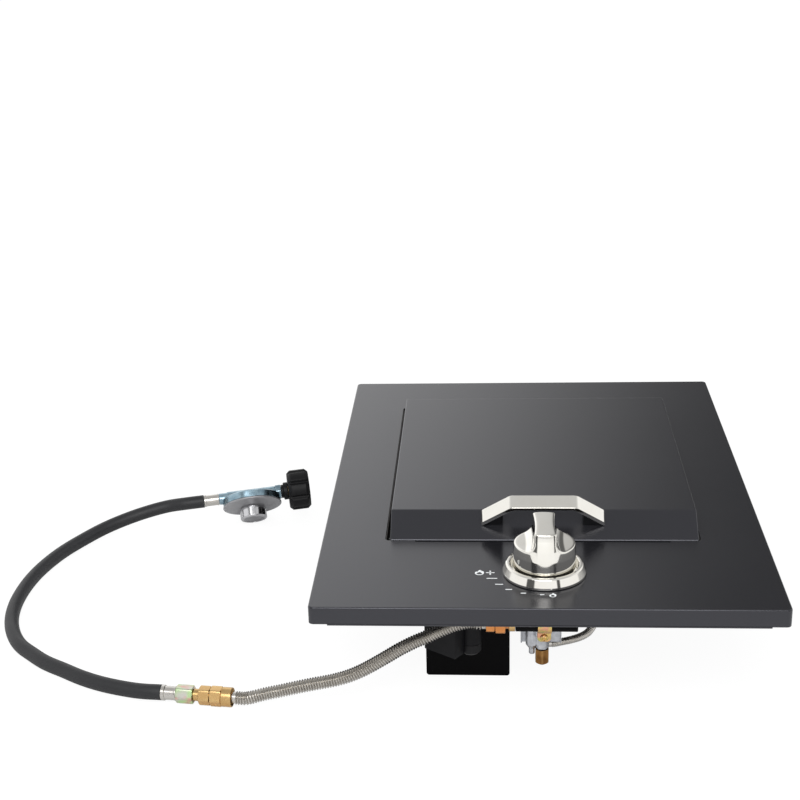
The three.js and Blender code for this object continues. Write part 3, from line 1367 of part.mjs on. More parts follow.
// The regulator with its hand nut. In its own frame X runs from the hose to the nut and the diaphragm's axis
// leans forward and down, the way it rests on its rim and its cap.
function regulator() {
  const group = groupAt(regulatorX, regulatorY, regulatorZ);
  group.rotation.order = "ZYX";
  group.rotation.z = regulatorYaw;
  group.rotation.y = -regulatorPitch;
  const onAxis = (g) => g.rotateX(regulatorTilt + rightAngle);
  const rimBack = jointOffset - regulatorRimThickness;
  const castingOutside = join(
    onAxis(turned([
      [0, regulatorDishOffset], [regulatorDishRadius, regulatorDishOffset],
      [regulatorShoulderRadius, regulatorShoulderOffset], [regulatorRim, rimBack],
      [regulatorRim, jointOffset], [0, jointOffset],
    ], largeSides)),
    barX(regulatorPipeRadius, regulatorPipeLeft, 0),
    barX(regulatorHubRadius, regulatorHubLeft, regulatorPipeRight - regulatorHexLength + gap),
    hexBar(regulatorHexFlats, regulatorPipeRight - regulatorHexLength, regulatorPipeRight)
      .rotateY(rightAngle),
  );
  const chamber = onAxis(bar(chamberRadius, jointOffset - chamberDepth, jointOffset + overrun));
  const underBonnet = onAxis(bar(bonnetRim + gap, jointOffset, jointOffset + 2 * regulatorHubRadius));
  const throughBore = barX(regulatorBore, regulatorPipeLeft - overrun, regulatorPipeRight + overrun,
    smallSides);
  add("regulator_body", cut(castingOutside, underBonnet, chamber, throughBore), zincCasting, group);
  const diaphragm = bar(chamberRadius - gap, jointOffset - diaphragmThickness, jointOffset);
  add("regulator_diaphragm", onAxis(diaphragm), rubber, group);

  const seat = jointOffset + gap;
  const rimTop = seat + bonnetRimThickness;
  const coneTop = rimTop + bonnetConeHeight;
  const neckTop = coneTop + bonnetNeckHeight;
  const bonnet = cut(
    onAxis(turned([
      [0, seat], [bonnetRim, seat], [bonnetRim, rimTop],
      [bonnetShoulderRadius, rimTop + bonnetConeHeight / 2], [bonnetNeckRadius, coneTop],
      [bonnetNeckRadius - 2 * gap, neckTop], [0, neckTop],
    ], largeSides)),
    onAxis(bar(bonnetBore, seat - overrun, neckTop + overrun)),
  );
  add("regulator_bonnet", bonnet, greyPaint, group);
  const capStart = bonnetCapEnd - bonnetCapLength;
  const cap = cut(
    onAxis(bar(bonnetCapRadius, capStart, bonnetCapEnd)),
    onAxis(bar(bonnetNeckRadius + gap, capStart - overrun, neckTop + gap)),
  );
  add("bonnet_cap", cap, greyPaint, group);

  const ferruleRight = regulatorPipeLeft - gap;
  const ferruleLeft = ferruleRight - regulatorFerruleLength;
  const ferrule = cut(
    barX(regulatorFerruleRadius, ferruleLeft, ferruleRight),
    barX(hoseTailRadius, ferruleLeft - overrun, ferruleRight + overrun, smallSides),
  );
  add("regulator_ferrule", ferrule, stainless, group);

  const nutLeft = nutCentre - nutLength / 2;
  const nutRight = nutCentre + nutLength / 2;
  const collarLeft = regulatorPipeRight + gap;
  const collar = cut(
    join(
      barX(collarStepRadius, collarLeft, nutLeft - runningGap),
      barX(collarRadius, collarLeft + collarStepLength, nutLeft - runningGap),
    ),
    barX(nippleRadius + gap, collarLeft - overrun, nutRight, smallSides),
  );
  add("coupling_collar", collar, blackPlastic, group);
  const lobes = Array.from({ length: nutLobes }, (_, i) => {
    const angle = (2 * Math.PI * (i + 0.5)) / nutLobes;
    const [left, right] = [nutLeft + nutLobeInset, nutRight - nutLobeInset];
    return turned([
      [0, left], [nutLobeRadius - nutLobeChamfer, left], [nutLobeRadius, left + nutLobeChamfer],
      [nutLobeRadius, right - nutLobeChamfer], [nutLobeRadius - nutLobeChamfer, right], [0, right],
    ], smallSides)
      .rotateY(rightAngle)
      .translate(0, nutLobeRing * Math.cos(angle), nutLobeRing * Math.sin(angle));
  });
  const socketStart = nutRight - nutSocketDepth;
  const nut = cut(
    join(barX(nutRadius, nutLeft, nutRight), ...lobes),
    barX(nutSocketRadius, socketStart, nutRight + overrun),
    barX(nutBackBore, nutLeft - overrun, socketStart + overrun, smallSides),
  );
  add("coupling_nut", nut, blackPlastic, group);
  const nippleEnd = socketStart + nippleReach - nippleNose;
  const nipple = cut(
    join(
      barX(nippleRadius, collarLeft, nippleEnd, smallSides),
      barX(nippleRadius - nippleNose / 4, nippleEnd - gap, nippleEnd + nippleNose / 2, smallSides),
    ),
    barX(nippleBore, collarLeft - overrun, nippleEnd + overrun, smallSides),
  );
  add("coupling_nipple", nipple, brass, group);
  group.updateMatrix();
  return {
    hoseEnd: (distance) => new THREE.Vector3(ferruleLeft - distance, 0, 0).applyMatrix4(group.matrix),
  };
}

// The rubber hose, from the ferrule of the line of fittings to the regulator's.
function gasHose(line, valveEnd) {
  const straight = 2 * hoseRadius * hoseStraightShare;
  const curve = curveThrough([
    line.nutFace(line.hoseStart).toArray(),
    line.nutFace(line.hoseStart + hoseRadius / 2).toArray(),
    ...fromStem(hoseRoute),
    valveEnd.hoseEnd(gap + straight).toArray(),
    valveEnd.hoseEnd(gap).toArray(),
  ]);
  add("gas_hose", cord(curve, hoseRadius, hoseSides, hoseSteps), rubber);
}

topPanel();
burnerBowl();
add("lid", lidShell().translate(lidOffset, 0, 0), blackEnamel);
handle();
lidHinge();
lidBumpers();
cookingGrate();
burner();
sparkSet();
igniter();
heatShield();
knobRing();
knob();
stemSet();
valve();
valveHanger();
railSet();
outletTube();
const line = gasLine();
flexConnector(line);
const regulatorEnd = regulator();
gasHose(line, regulatorEnd);

export default root;
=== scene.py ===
"""Looks of a built-in gas side burner: fine shapes, finishes, cords, camera and light.

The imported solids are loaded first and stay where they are. Each class below dresses one sub-assembly: it
builds the fine meshes that stand for its solids, and gives the solids that stay their finish. All is built in
the part's own frame, in metres. X runs to the right, Y to the back and Z up.
"""

from __future__ import annotations

import json
import logging
import math
from collections.abc import Callable, Sequence
from dataclasses import dataclass
from enum import Enum

import bmesh
import bpy
from mathutils import Matrix, Vector
from mathutils.geometry import interpolate_bezier

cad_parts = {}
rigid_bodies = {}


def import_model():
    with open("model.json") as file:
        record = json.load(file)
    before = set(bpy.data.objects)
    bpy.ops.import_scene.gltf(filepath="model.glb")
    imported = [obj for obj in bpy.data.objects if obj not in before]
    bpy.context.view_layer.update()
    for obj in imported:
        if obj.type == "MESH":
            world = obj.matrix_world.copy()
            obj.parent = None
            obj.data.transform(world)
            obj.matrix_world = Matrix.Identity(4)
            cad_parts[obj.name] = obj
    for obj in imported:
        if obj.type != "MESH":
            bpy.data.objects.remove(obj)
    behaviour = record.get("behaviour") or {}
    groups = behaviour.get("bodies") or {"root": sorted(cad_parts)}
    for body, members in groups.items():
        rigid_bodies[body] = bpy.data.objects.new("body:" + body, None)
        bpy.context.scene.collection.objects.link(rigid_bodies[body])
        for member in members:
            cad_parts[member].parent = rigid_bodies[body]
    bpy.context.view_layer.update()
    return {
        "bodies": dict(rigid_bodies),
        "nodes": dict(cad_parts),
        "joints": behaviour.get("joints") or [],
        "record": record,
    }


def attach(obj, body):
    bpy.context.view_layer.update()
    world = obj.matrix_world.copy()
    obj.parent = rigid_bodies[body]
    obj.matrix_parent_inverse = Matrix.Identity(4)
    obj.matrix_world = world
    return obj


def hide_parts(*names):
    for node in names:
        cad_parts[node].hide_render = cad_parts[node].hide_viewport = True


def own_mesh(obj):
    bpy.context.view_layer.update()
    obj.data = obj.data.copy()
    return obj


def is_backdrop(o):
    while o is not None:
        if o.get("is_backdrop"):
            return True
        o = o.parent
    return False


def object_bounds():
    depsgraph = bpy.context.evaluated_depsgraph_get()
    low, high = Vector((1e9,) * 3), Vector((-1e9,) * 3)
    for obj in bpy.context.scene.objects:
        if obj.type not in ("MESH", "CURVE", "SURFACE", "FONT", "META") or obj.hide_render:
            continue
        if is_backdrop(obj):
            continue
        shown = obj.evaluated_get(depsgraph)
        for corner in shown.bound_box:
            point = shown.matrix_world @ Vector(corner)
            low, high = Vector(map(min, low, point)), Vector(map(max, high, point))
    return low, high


LOG = logging.getLogger("side_burner")
Point = tuple[float, float]
Triple = tuple[float, float, float]

# Shared lengths: the gap of a joint, a cutter's reach past a sheet, and what counts as touching
GAP = 0.0003
CUT_PAST = 0.002
TOUCH = 1e-6
KNOB_AXIS_Y = -0.235
PANEL_TOP = 0.140


class Slot(Enum):
    """The record's material slots."""

    BLACK_ENAMEL = "black_enamel"
    BLACK_STEEL = "black_steel"
    CHROME = "chrome"
    STAINLESS = "stainless"
    GALVANISED = "galvanised"
    YELLOW_ZINC = "yellow_zinc"
    BRASS = "brass"
    CAST_ALUMINIUM = "cast_aluminium"
    CAST_IRON = "cast_iron"
    BLACK_PLASTIC = "black_plastic"
    DARK_PLASTIC = "dark_plastic"
    RUBBER = "rubber"
    CERAMIC = "ceramic"
    GREEN_ZINC = "green_zinc"
    ZINC_CASTING = "zinc_casting"
    GREY_PAINT = "grey_paint"
    SPRING_STEEL = "spring_steel"
    BATTERY_CASE = "battery_case"


class Body(Enum):
    """The part's moving bodies."""

    FRAME = "frame"
    LID = "lid_assembly"
    STEM = "push_stem"
    KNOB = "knob_assembly"
    CONE = "valve_cone"
    BATTERY_DOOR = "battery_door"
    SHUTTER = "shutter"
    HOSE_NUT = "hose_nut"
    HAND_NUT = "hand_nut"


# Shader groups


class NodeGroup:
    """A shader node group under construction, with named inputs and outputs."""

    def __init__(self, name: str) -> None:
        """Start an empty group.

        Args:
            name: The group's name.
        """
        self.tree = bpy.data.node_groups.new(name, "ShaderNodeTree")
        self.entry = self.tree.nodes.new("NodeGroupInput")
        self.exit = self.tree.nodes.new("NodeGroupOutput")

    def input(self, name: str, kind: str, value: object = None) -> None:
        """Add an input socket.

        Args:
            name: The socket's name.
            kind: Float, Color or Vector.
            value: The socket's default, if it has one.
        """
        socket = self.tree.interface.new_socket(name, in_out="INPUT", socket_type=f"NodeSocket{kind}")
        if value is not None:
            socket.default_value = value

    def output(self, name: str, kind: str, source: bpy.types.NodeSocket) -> None:
        """Add an output socket and feed it.

        Args:
            name: The socket's name.
            kind: Float, Color or Vector.
            source: What feeds it.
        """
        self.tree.interface.new_socket(name, in_out="OUTPUT", socket_type=f"NodeSocket{kind}")
        self.tree.links.new(source, self.exit.inputs[name])

    def node(self, kind: str, **settings: object) -> bpy.types.Node:
        """Add a node with some of its settings.

        Args:
            kind: The node's type, without its Shader prefix.
            settings: Attributes to set on it.

        Returns:
            The new node.
        """
        node = self.tree.nodes.new(f"ShaderNode{kind}")
        for key, value in settings.items():
            setattr(node, key, value)
        return node

    def link(self, source: bpy.types.NodeSocket, target: bpy.types.NodeSocket) -> None:
        """Join two sockets."""
        self.tree.links.new(source, target)

    def noise(self, scale_from: str, detail: float, stretch: Triple = (1.0, 1.0, 1.0)) -> bpy.types.Node:
        """Add a noise texture on the object's own coordinates.

        Args:
            scale_from: The group input that sets the scale.
            detail: Octaves of noise.
            stretch: How much the pattern is squeezed along each axis.

        Returns:
            The noise node.
        """
        place = self.node("TexCoord")
        mapping = self.node("Mapping")
        mapping.inputs["Scale"].default_value = stretch
        noise = self.node("TexNoise")
        noise.inputs["Detail"].default_value = detail
        self.link(place.outputs["Object"], mapping.inputs["Vector"])
        self.link(mapping.outputs["Vector"], noise.inputs["Vector"])
        self.link(self.entry.outputs[scale_from], noise.inputs["Scale"])
        return noise

    def ramp(self, source: bpy.types.NodeSocket, low: float, high: float) -> bpy.types.NodeSocket:
        """Spread a value between two limits to the range from 0 to 1.

        Args:
            source: The value.
            low: What becomes 0.
            high: What becomes 1.

        Returns:
            The clamped result.
        """
        spread = self.node("MapRange", clamp=True)
        spread.inputs["From Min"].default_value = low
        spread.inputs["From Max"].default_value = high
        self.link(source, spread.inputs["Value"])
        return spread.outputs["Result"]

    def mix(self, factor: bpy.types.NodeSocket, first: object, second: object) -> bpy.types.NodeSocket:
        """Mix two colours, each a group input's name, a socket or a plain colour.

        Args:
            factor: The share of the second colour.
            first: The first colour.
            second: The second colour.

        Returns:
            The mixed colour.
        """
        mix = self.node("Mix", data_type="RGBA")
        self.link(factor, mix.inputs["Factor"])
        for value, socket in ((first, mix.inputs[6]), (second, mix.inputs[7])):
            if isinstance(value, str):
                self.link(self.entry.outputs[value], socket)
            elif isinstance(value, bpy.types.NodeSocket):
                self.link(value, socket)
            else:
                socket.default_value = value
        return mix.outputs[2]

    def maths(self, kind: str, first: object, second: object) -> bpy.types.NodeSocket:
        """Combine two values, each a group input's name, a socket or a plain number.

        Args:
            kind: The operation.
            first: The first value.
            second: The second value.

        Returns:
            The result.
        """
        node = self.node("Math", operation=kind)
        for value, socket in ((first, node.inputs[0]), (second, node.inputs[1])):
            if isinstance(value, str):
                self.link(self.entry.outputs[value], socket)
            elif isinstance(value, bpy.types.NodeSocket):
                self.link(value, socket)
            else:
                socket.default_value = value
        return node.outputs[0]


def surface_group() -> bpy.types.NodeTree:
    """The variation that every finish shares: cloudy colour, uneven gloss, fine grain and a worn edge.

    Returns:
        A group with Color, Roughness and Normal outputs.
    """
    group = NodeGroup("surface_variation")
    grey = (0.5, 0.5, 0.5, 1.0)
    group.input("Color", "Color", grey)
    group.input("Cloud Color", "Color", grey)
    group.input("Cloud Scale", "Float", 30.0)
    group.input("Cloud Share", "Float", 0.3)
    group.input("Roughness", "Float", 0.4)
    group.input("Roughness Spread", "Float", 0.1)
    group.input("Edge Color", "Color", grey)
    group.input("Edge Share", "Float", 0.0)
    group.input("Grain Scale", "Float", 900.0)
    group.input("Grain Depth", "Float", 0.0)
    group.input("Wave Scale", "Float", 60.0)
    group.input("Wave Depth", "Float", 0.0)
    cloud = group.noise("Cloud Scale", 4.0)
    spread = group.ramp(cloud.outputs["Fac"], 0.3, 0.7)
    clouded = group.mix(group.maths("MULTIPLY", spread, "Cloud Share"), "Color", "Cloud Color")
    geometry = group.node("NewGeometry")
    edge = group.ramp(geometry.outputs["Pointiness"], 0.52, 0.6)
    worn = group.maths("MULTIPLY", edge, "Edge Share")
    group.output("Color", "Color", group.mix(worn, clouded, "Edge Color"))
    uneven = group.maths("MULTIPLY", group.maths("SUBTRACT", cloud.outputs["Fac"], 0.5), "Roughness Spread")
    group.output("Roughness", "Float", group.maths("ADD", "Roughness", uneven))
    grain = group.noise("Grain Scale", 3.0)
    wave = group.noise("Wave Scale", 1.0)
    height = group.maths(
        "ADD",
        group.maths("MULTIPLY", grain.outputs["Fac"], "Grain Depth"),
        group.maths("MULTIPLY", wave.outputs["Fac"], "Wave Depth"),
    )
    bump = group.node("Bump")
    bump.inputs["Strength"].default_value = 1.0
    bump.inputs["Distance"].default_value = 1.0
    group.link(height, bump.inputs["Height"])
    group.output("Normal", "Vector", bump.outputs["Normal"])
    return group.tree


def plating_group() -> bpy.types.NodeTree:
    """The rainbow of a chromated zinc plating: patches of a second and a third tint over the first.

    Returns:
        A group with a Color output.
    """
    group = NodeGroup("plating_tints")
    grey = (0.5, 0.5, 0.5, 1.0)
    group.input("Base", "Color", grey)
    group.input("Second", "Color", grey)
    group.input("Third", "Color", grey)
    group.input("Scale", "Float", 90.0)
    first = group.noise("Scale", 1.5)
    second = group.noise("Scale", 2.0, (0.7, 1.3, 0.9))
    tinted = group.mix(group.ramp(first.outputs["Fac"], 0.42, 0.62), "Base", "Second")
    patched = group.mix(group.ramp(second.outputs["Fac"], 0.5, 0.66), tinted, "Third")
    group.output("Color", "Color", patched)
    return group.tree


def spangle_group() -> bpy.types.NodeTree:
    """The crystal spangle of galvanised sheet.

    Returns:
        A group with a Color output.
    """
    group = NodeGroup("zinc_spangle")
    grey = (0.5, 0.5, 0.5, 1.0)
    group.input("Light", "Color", grey)
    group.input("Dark", "Color", grey)
    group.input("Scale", "Float", 250.0)
    place = group.node("TexCoord")
    cells = group.node("TexVoronoi")
    group.link(place.outputs["Object"], cells.inputs["Vector"])
    group.link(group.entry.outputs["Scale"], cells.inputs["Scale"])
    shade = group.node("SeparateColor")
    group.link(cells.outputs["Color"], shade.inputs[0])
    group.output("Color", "Color", group.mix(shade.outputs[0], "Light", "Dark"))
    return group.tree


class Shaders:
    """The shader groups, each built once."""

    def __init__(self) -> None:
        """Build the groups."""
        self.surface = surface_group()
        self.plating = plating_group()
        self.spangle = spangle_group()


# Finishes


def rgba(red: int, green: int, blue: int) -> tuple[float, float, float, float]:
    """Turn a colour as seen on a screen into the linear colour that a shader takes.

    Args:
        red: 0 to 255.
        green: 0 to 255.
        blue: 0 to 255.

    Returns:
        Linear red, green, blue and a full alpha.
    """
    linear = [((c / 255 + 0.055) / 1.055) ** 2.4 if c > 10 else c / 255 / 12.92 for c in (red, green, blue)]
    return (linear[0], linear[1], linear[2], 1.0)


@dataclass(frozen=True)
class Finish:
    """One finish, as the numbers that its shader takes.

    Attributes:
        slot: The record's slot that it stands for.
        color: The main colour.
        cloud: The colour that drifts over it.
        metallic: 1 for bare metal.
        roughness: The mean roughness.
        spread: How far the roughness wanders.
        cloud_scale: The size of the drifts, in cycles per metre.
        cloud_share: How strongly the drifts show.
        edge: The colour of a worn edge.
        edge_share: How strongly the wear shows.
        grain_scale: Cycles per metre of the fine relief.
        grain_depth: Height of the fine relief.
        wave_scale: Cycles per metre of the slow relief.
        wave_depth: Height of the slow relief.
        coat: Weight of a clear coat.
        coat_roughness: Roughness of that coat.
        specular: The specular level.
        tint: The tint of its reflections, for what isn't metal.
        name: The material's name, where it isn't the slot's.
    """

    slot: Slot
    color: tuple[float, float, float, float]
    cloud: tuple[float, float, float, float]
    metallic: float = 0.0
    roughness: float = 0.5
    spread: float = 0.1
    cloud_scale: float = 40.0
    cloud_share: float = 0.5
    edge: tuple[float, float, float, float] = (0.5, 0.5, 0.5, 1.0)
    edge_share: float = 0.0
    grain_scale: float = 1200.0
    grain_depth: float = 0.0
    wave_scale: float = 60.0
    wave_depth: float = 0.0
    coat: float = 0.0
    coat_roughness: float = 0.1
    specular: float = 0.5
    tint: tuple[float, float, float, float] = (1.0, 1.0, 1.0, 1.0)
    name: str = ""

    def build(self, shaders: Shaders) -> bpy.types.Material:
        """Make the material.

        Args:
            shaders: The shared groups.

        Returns:
            The material.
        """
        material = bpy.data.materials.new(self.name or self.slot.value)
        material.use_nodes = True
        tree = material.node_tree
        shader = tree.nodes["Principled BSDF"]
        shader.inputs["Metallic"].default_value = self.metallic
        shader.inputs["Coat Weight"].default_value = self.coat
        shader.inputs["Coat Roughness"].default_value = self.coat_roughness
        shader.inputs["Specular IOR Level"].default_value = self.specular
        shader.inputs["Specular Tint"].default_value = self.tint
        variation = tree.nodes.new("ShaderNodeGroup")
        variation.node_tree = shaders.surface
        for socket, value in {
            "Color": self.color,
            "Cloud Color": self.cloud,
            "Cloud Scale": self.cloud_scale,
            "Cloud Share": self.cloud_share,
            "Roughness": self.roughness,
            "Roughness Spread": self.spread,
            "Edge Color": self.edge,
            "Edge Share": self.edge_share,
            "Grain Scale": self.grain_scale,
            "Grain Depth": self.grain_depth,
            "Wave Scale": self.wave_scale,
            "Wave Depth": self.wave_depth,
        }.items():
            variation.inputs[socket].default_value = value
        for output, target in (("Color", "Base Color"), ("Roughness", "Roughness"), ("Normal", "Normal")):
            tree.links.new(variation.outputs[output], shader.inputs[target])
        self.decorate(tree, variation, shaders)
        return material

    def decorate(self, tree: bpy.types.NodeTree, variation: bpy.types.Node, shaders: Shaders) -> None:
        """Add what only this kind of finish has. A plain finish adds nothing.

        Args:
            tree: The material's node tree.
            variation: The shared variation node.
            shaders: The shared groups.
        """


@dataclass(frozen=True)
class PlatedFinish(Finish):
    """A chromated zinc plating with three tints.

    Attributes:
        second: The second tint.
        third: The third tint.
        tint_scale: Cycles per metre of the patches.
    """

    second: tuple[float, float, float, float] = (0.5, 0.5, 0.5, 1.0)
    third: tuple[float, float, float, float] = (0.5, 0.5, 0.5, 1.0)
    tint_scale: float = 90.0

    def decorate(self, tree: bpy.types.NodeTree, variation: bpy.types.Node, shaders: Shaders) -> None:
        """Feed the tints into the colour.

        Args:
            tree: The material's node tree.
            variation: The shared variation node.
            shaders: The shared groups.
        """
        tints = tree.nodes.new("ShaderNodeGroup")
        tints.node_tree = shaders.plating
        tints.inputs["Base"].default_value = self.color
        tints.inputs["Second"].default_value = self.second
        tints.inputs["Third"].default_value = self.third
        tints.inputs["Scale"].default_value = self.tint_scale
        tree.links.new(tints.outputs["Color"], variation.inputs["Color"])


@dataclass(frozen=True)
class SpangledFinish(Finish):
    """Galvanised sheet.

    Attributes:
        dark: The colour of the darkest crystals.
        crystals: Crystals per metre.
    """

    dark: tuple[float, float, float, float] = (0.5, 0.5, 0.5, 1.0)
    crystals: float = 250.0

    def decorate(self, tree: bpy.types.NodeTree, variation: bpy.types.Node, shaders: Shaders) -> None:
        """Feed the crystals into the colour.

        Args:
            tree: The material's node tree.
            variation: The shared variation node.
            shaders: The shared groups.
        """
        spangle = tree.nodes.new("ShaderNodeGroup")
        spangle.node_tree = shaders.spangle
        spangle.inputs["Light"].default_value = self.color
        spangle.inputs["Dark"].default_value = self.dark
        spangle.inputs["Scale"].default_value = self.crystals
        tree.links.new(spangle.outputs["Color"], variation.inputs["Color"])


FINISHES: tuple[Finish, ...] = (
    Finish(Slot.BLACK_ENAMEL, rgba(28, 28, 31), rgba(31, 31, 34), roughness=0.22, spread=0.03,
           cloud_scale=9.0, edge=rgba(70, 70, 74), edge_share=0.1, wave_scale=14.0, wave_depth=0.00002,
           grain_scale=700.0, grain_depth=0.0000015, specular=0.56, tint=(0.90, 0.91, 1.0, 1.0)),
    Finish(Slot.BLACK_STEEL, rgba(4, 4, 5), rgba(8, 8, 9), roughness=0.6, cloud_scale=70.0,
           edge=rgba(40, 38, 37), edge_share=0.15, grain_depth=0.000003, specular=0.07),
    Finish(Slot.CHROME, rgba(232, 230, 224), rgba(222, 218, 208), metallic=1.0, roughness=0.07, spread=0.05,
           cloud_scale=60.0, cloud_share=0.4, wave_scale=45.0, wave_depth=0.00001),
    Finish(Slot.STAINLESS, rgba(200, 197, 192), rgba(184, 180, 174), metallic=1.0, roughness=0.24,
           spread=0.12, cloud_scale=80.0, grain_scale=1800.0, grain_depth=0.000002),
    SpangledFinish(Slot.GALVANISED, rgba(202, 204, 208), rgba(190, 192, 196), metallic=1.0, roughness=0.42,
                   dark=rgba(168, 171, 177), crystals=260.0, grain_depth=0.000002),
    PlatedFinish(Slot.YELLOW_ZINC, rgba(226, 190, 120), rgba(216, 178, 110), metallic=1.0, roughness=0.28,
                 second=rgba(214, 150, 132), third=rgba(170, 176, 104), tint_scale=160.0),
    Finish(Slot.BRASS, rgba(206, 172, 118), rgba(188, 150, 98), metallic=1.0, roughness=0.26, spread=0.16,
           cloud_scale=70.0, cloud_share=0.7, grain_scale=1400.0, grain_depth=0.000003,
           edge=rgba(240, 212, 156), edge_share=0.4),
    Finish(Slot.CAST_ALUMINIUM, rgba(206, 208, 212), rgba(146, 148, 154), metallic=1.0, roughness=0.32,
           spread=0.16, cloud_scale=110.0, cloud_share=0.7, wave_scale=210.0, wave_depth=0.00016,
           grain_depth=0.000006),
    Finish(Slot.CAST_IRON, rgba(30, 30, 31), rgba(44, 42, 41), roughness=0.72, cloud_scale=90.0,
           grain_scale=900.0, grain_depth=0.00006, wave_scale=300.0, wave_depth=0.00012,
           edge=rgba(80, 78, 75), edge_share=0.3),
    Finish(Slot.BLACK_PLASTIC, rgba(13, 13, 15), rgba(18, 18, 20), roughness=0.46, spread=0.12,
           cloud_scale=90.0, grain_scale=2200.0, grain_depth=0.000006, edge=rgba(46, 46, 48),
           edge_share=0.15, specular=0.2),
    Finish(Slot.DARK_PLASTIC, rgba(17, 17, 20), rgba(13, 13, 15), roughness=0.42, cloud_scale=60.0,
           grain_scale=2600.0, grain_depth=0.000005, specular=0.15),
    Finish(Slot.RUBBER, rgba(21, 22, 25), rgba(33, 34, 37), roughness=0.52, spread=0.14, cloud_scale=55.0,
           grain_scale=1500.0, grain_depth=0.00001, wave_scale=180.0, wave_depth=0.00002),
    Finish(Slot.CERAMIC, rgba(232, 228, 216), rgba(222, 214, 198), roughness=0.3, cloud_scale=120.0,
           coat=0.4),
    PlatedFinish(Slot.GREEN_ZINC, rgba(186, 214, 160), rgba(176, 190, 160), metallic=1.0, roughness=0.3,
                 second=rgba(206, 202, 196), third=rgba(222, 150, 150), tint_scale=85.0),
    Finish(Slot.ZINC_CASTING, rgba(158, 182, 194), rgba(110, 134, 148), metallic=1.0, roughness=0.24,
           spread=0.16, cloud_scale=130.0, cloud_share=0.9, wave_scale=140.0, wave_depth=0.00006,
           edge=rgba(214, 224, 230), edge_share=0.3),
    Finish(Slot.GREY_PAINT, rgba(158, 158, 161), rgba(146, 146, 149), metallic=0.55, roughness=0.36,
           cloud_scale=70.0, wave_scale=70.0, wave_depth=0.00002, grain_depth=0.000003),
    Finish(Slot.SPRING_STEEL, rgba(150, 150, 152), rgba(120, 120, 124), metallic=1.0, roughness=0.3),
    Finish(Slot.BATTERY_CASE, rgba(150, 154, 160), rgba(120, 124, 132), metallic=0.8, roughness=0.34,
           cloud_scale=60.0),
)
PRINT = Finish(Slot.BLACK_ENAMEL, rgba(236, 240, 242), rgba(222, 226, 228), roughness=0.5,
               cloud_scale=300.0, name="white_print")
COPPER_BRASS = Finish(Slot.BRASS, rgba(206, 138, 82), rgba(190, 118, 64), metallic=1.0, roughness=0.3,
                      cloud_scale=90.0, edge=rgba(236, 184, 126), edge_share=0.3, name="copper_brass")
# Dull stainless for the burner bowl: the dullness is its own finish, but its dark colour is painted shade for
# the shadow the bowl lies in under the lid and in the gaps beside it.
DULL_STEEL_PAINTED_SHADE = Finish(Slot.STAINLESS, rgba(84, 82, 80), rgba(66, 65, 64), metallic=1.0, roughness=0.5,
                    cloud_scale=40.0, grain_depth=0.000002, name="dull_stainless_painted_shade")
DARK_BRASS = Finish(Slot.BRASS, rgba(150, 108, 62), rgba(104, 70, 38), metallic=1.0, roughness=0.3,
                    cloud_scale=160.0, cloud_share=0.8, edge=rgba(206, 168, 112), edge_share=0.5,
                    name="dark_brass")
BRIGHT_CAP = Finish(Slot.GREY_PAINT, rgba(206, 206, 208), rgba(180, 180, 184), metallic=1.0, roughness=0.16,
                    cloud_scale=90.0, name="bright_zinc")


class Palette:
    """The finished materials, by slot."""

    def __init__(self) -> None:
        """Build every material once."""
        shaders = Shaders()
        self.by_slot = {finish.slot: finish.build(shaders) for finish in FINISHES}
        self.print = PRINT.build(shaders)
        self.bright_cap = BRIGHT_CAP.build(shaders)
        self.copper_brass = COPPER_BRASS.build(shaders)
        self.dark_brass = DARK_BRASS.build(shaders)
        self.dull_steel_painted_shade = DULL_STEEL_PAINTED_SHADE.build(shaders)


# Meshes


@dataclass(frozen=True)
class Ring:
    """One ring of a turned bar.

    Attributes:
        at: Its place along the bar.
        limit: Its outer radius.
        apothem: Half the width across its flats, where it is hexagonal.
    """

    at: float
    limit: float
    apothem: float = 0.0

    def radius(self, angle: float) -> float:
        """The ring's radius in one direction.

        Args:
            angle: The direction, with a corner of a hexagon at 0.

        Returns:
            The radius.
        """
        if not self.apothem:
            return self.limit
        side = math.radians(60)
        off_flat = (angle % side) - side / 2
        return min(self.limit, self.apothem / math.cos(off_flat))


def hexagon(start: float, end: float, flats: float, corner_share: float = 0.975) -> list[Ring]:
    """The rings of a hexagonal stretch with chamfered ends.

    Args:
        start: Where it starts.
        end: Where it ends.
        flats: Its width across the flats.
        corner_share: How far its rubbed corners reach, as a share of sharp ones.

    Returns:
        The rings, from start to end.
    """
    apothem = flats / 2
    corner = apothem / math.cos(math.radians(30)) * corner_share
    chamfer = (corner - apothem) * 0.6
    lean = 1 if end > start else -1
    return [
        Ring(start, apothem * 0.97, apothem),
        Ring(start + lean * chamfer * 0.5, apothem + (corner - apothem) * 0.55, apothem),
        Ring(start + lean * chamfer, corner, apothem),
        Ring(end - lean * chamfer, corner, apothem),
        Ring(end - lean * chamfer * 0.5, apothem + (corner - apothem) * 0.55, apothem),
        Ring(end, apothem * 0.97, apothem),
    ]


def drum(start: float, end: float, radius: float, round_over: float = 0.0004) -> list[Ring]:
    """The rings of a round stretch with rounded ends.

    Args:
        start: Where it starts.
        end: Where it ends.
        radius: Its radius.
        round_over: The radius of its rounded rims.

    Returns:
        The rings, from start to end.
    """
    lean = 1 if end > start else -1
    steps = [math.radians(a) for a in (0, 30, 60, 90)]
    rise = [(round_over * (1 - math.cos(a)), round_over * (1 - math.sin(a))) for a in steps]
    head = [Ring(start + lean * along, radius - inset) for along, inset in rise]
    tail = [Ring(end - lean * along, radius - inset) for along, inset in reversed(rise)]
    return head + tail


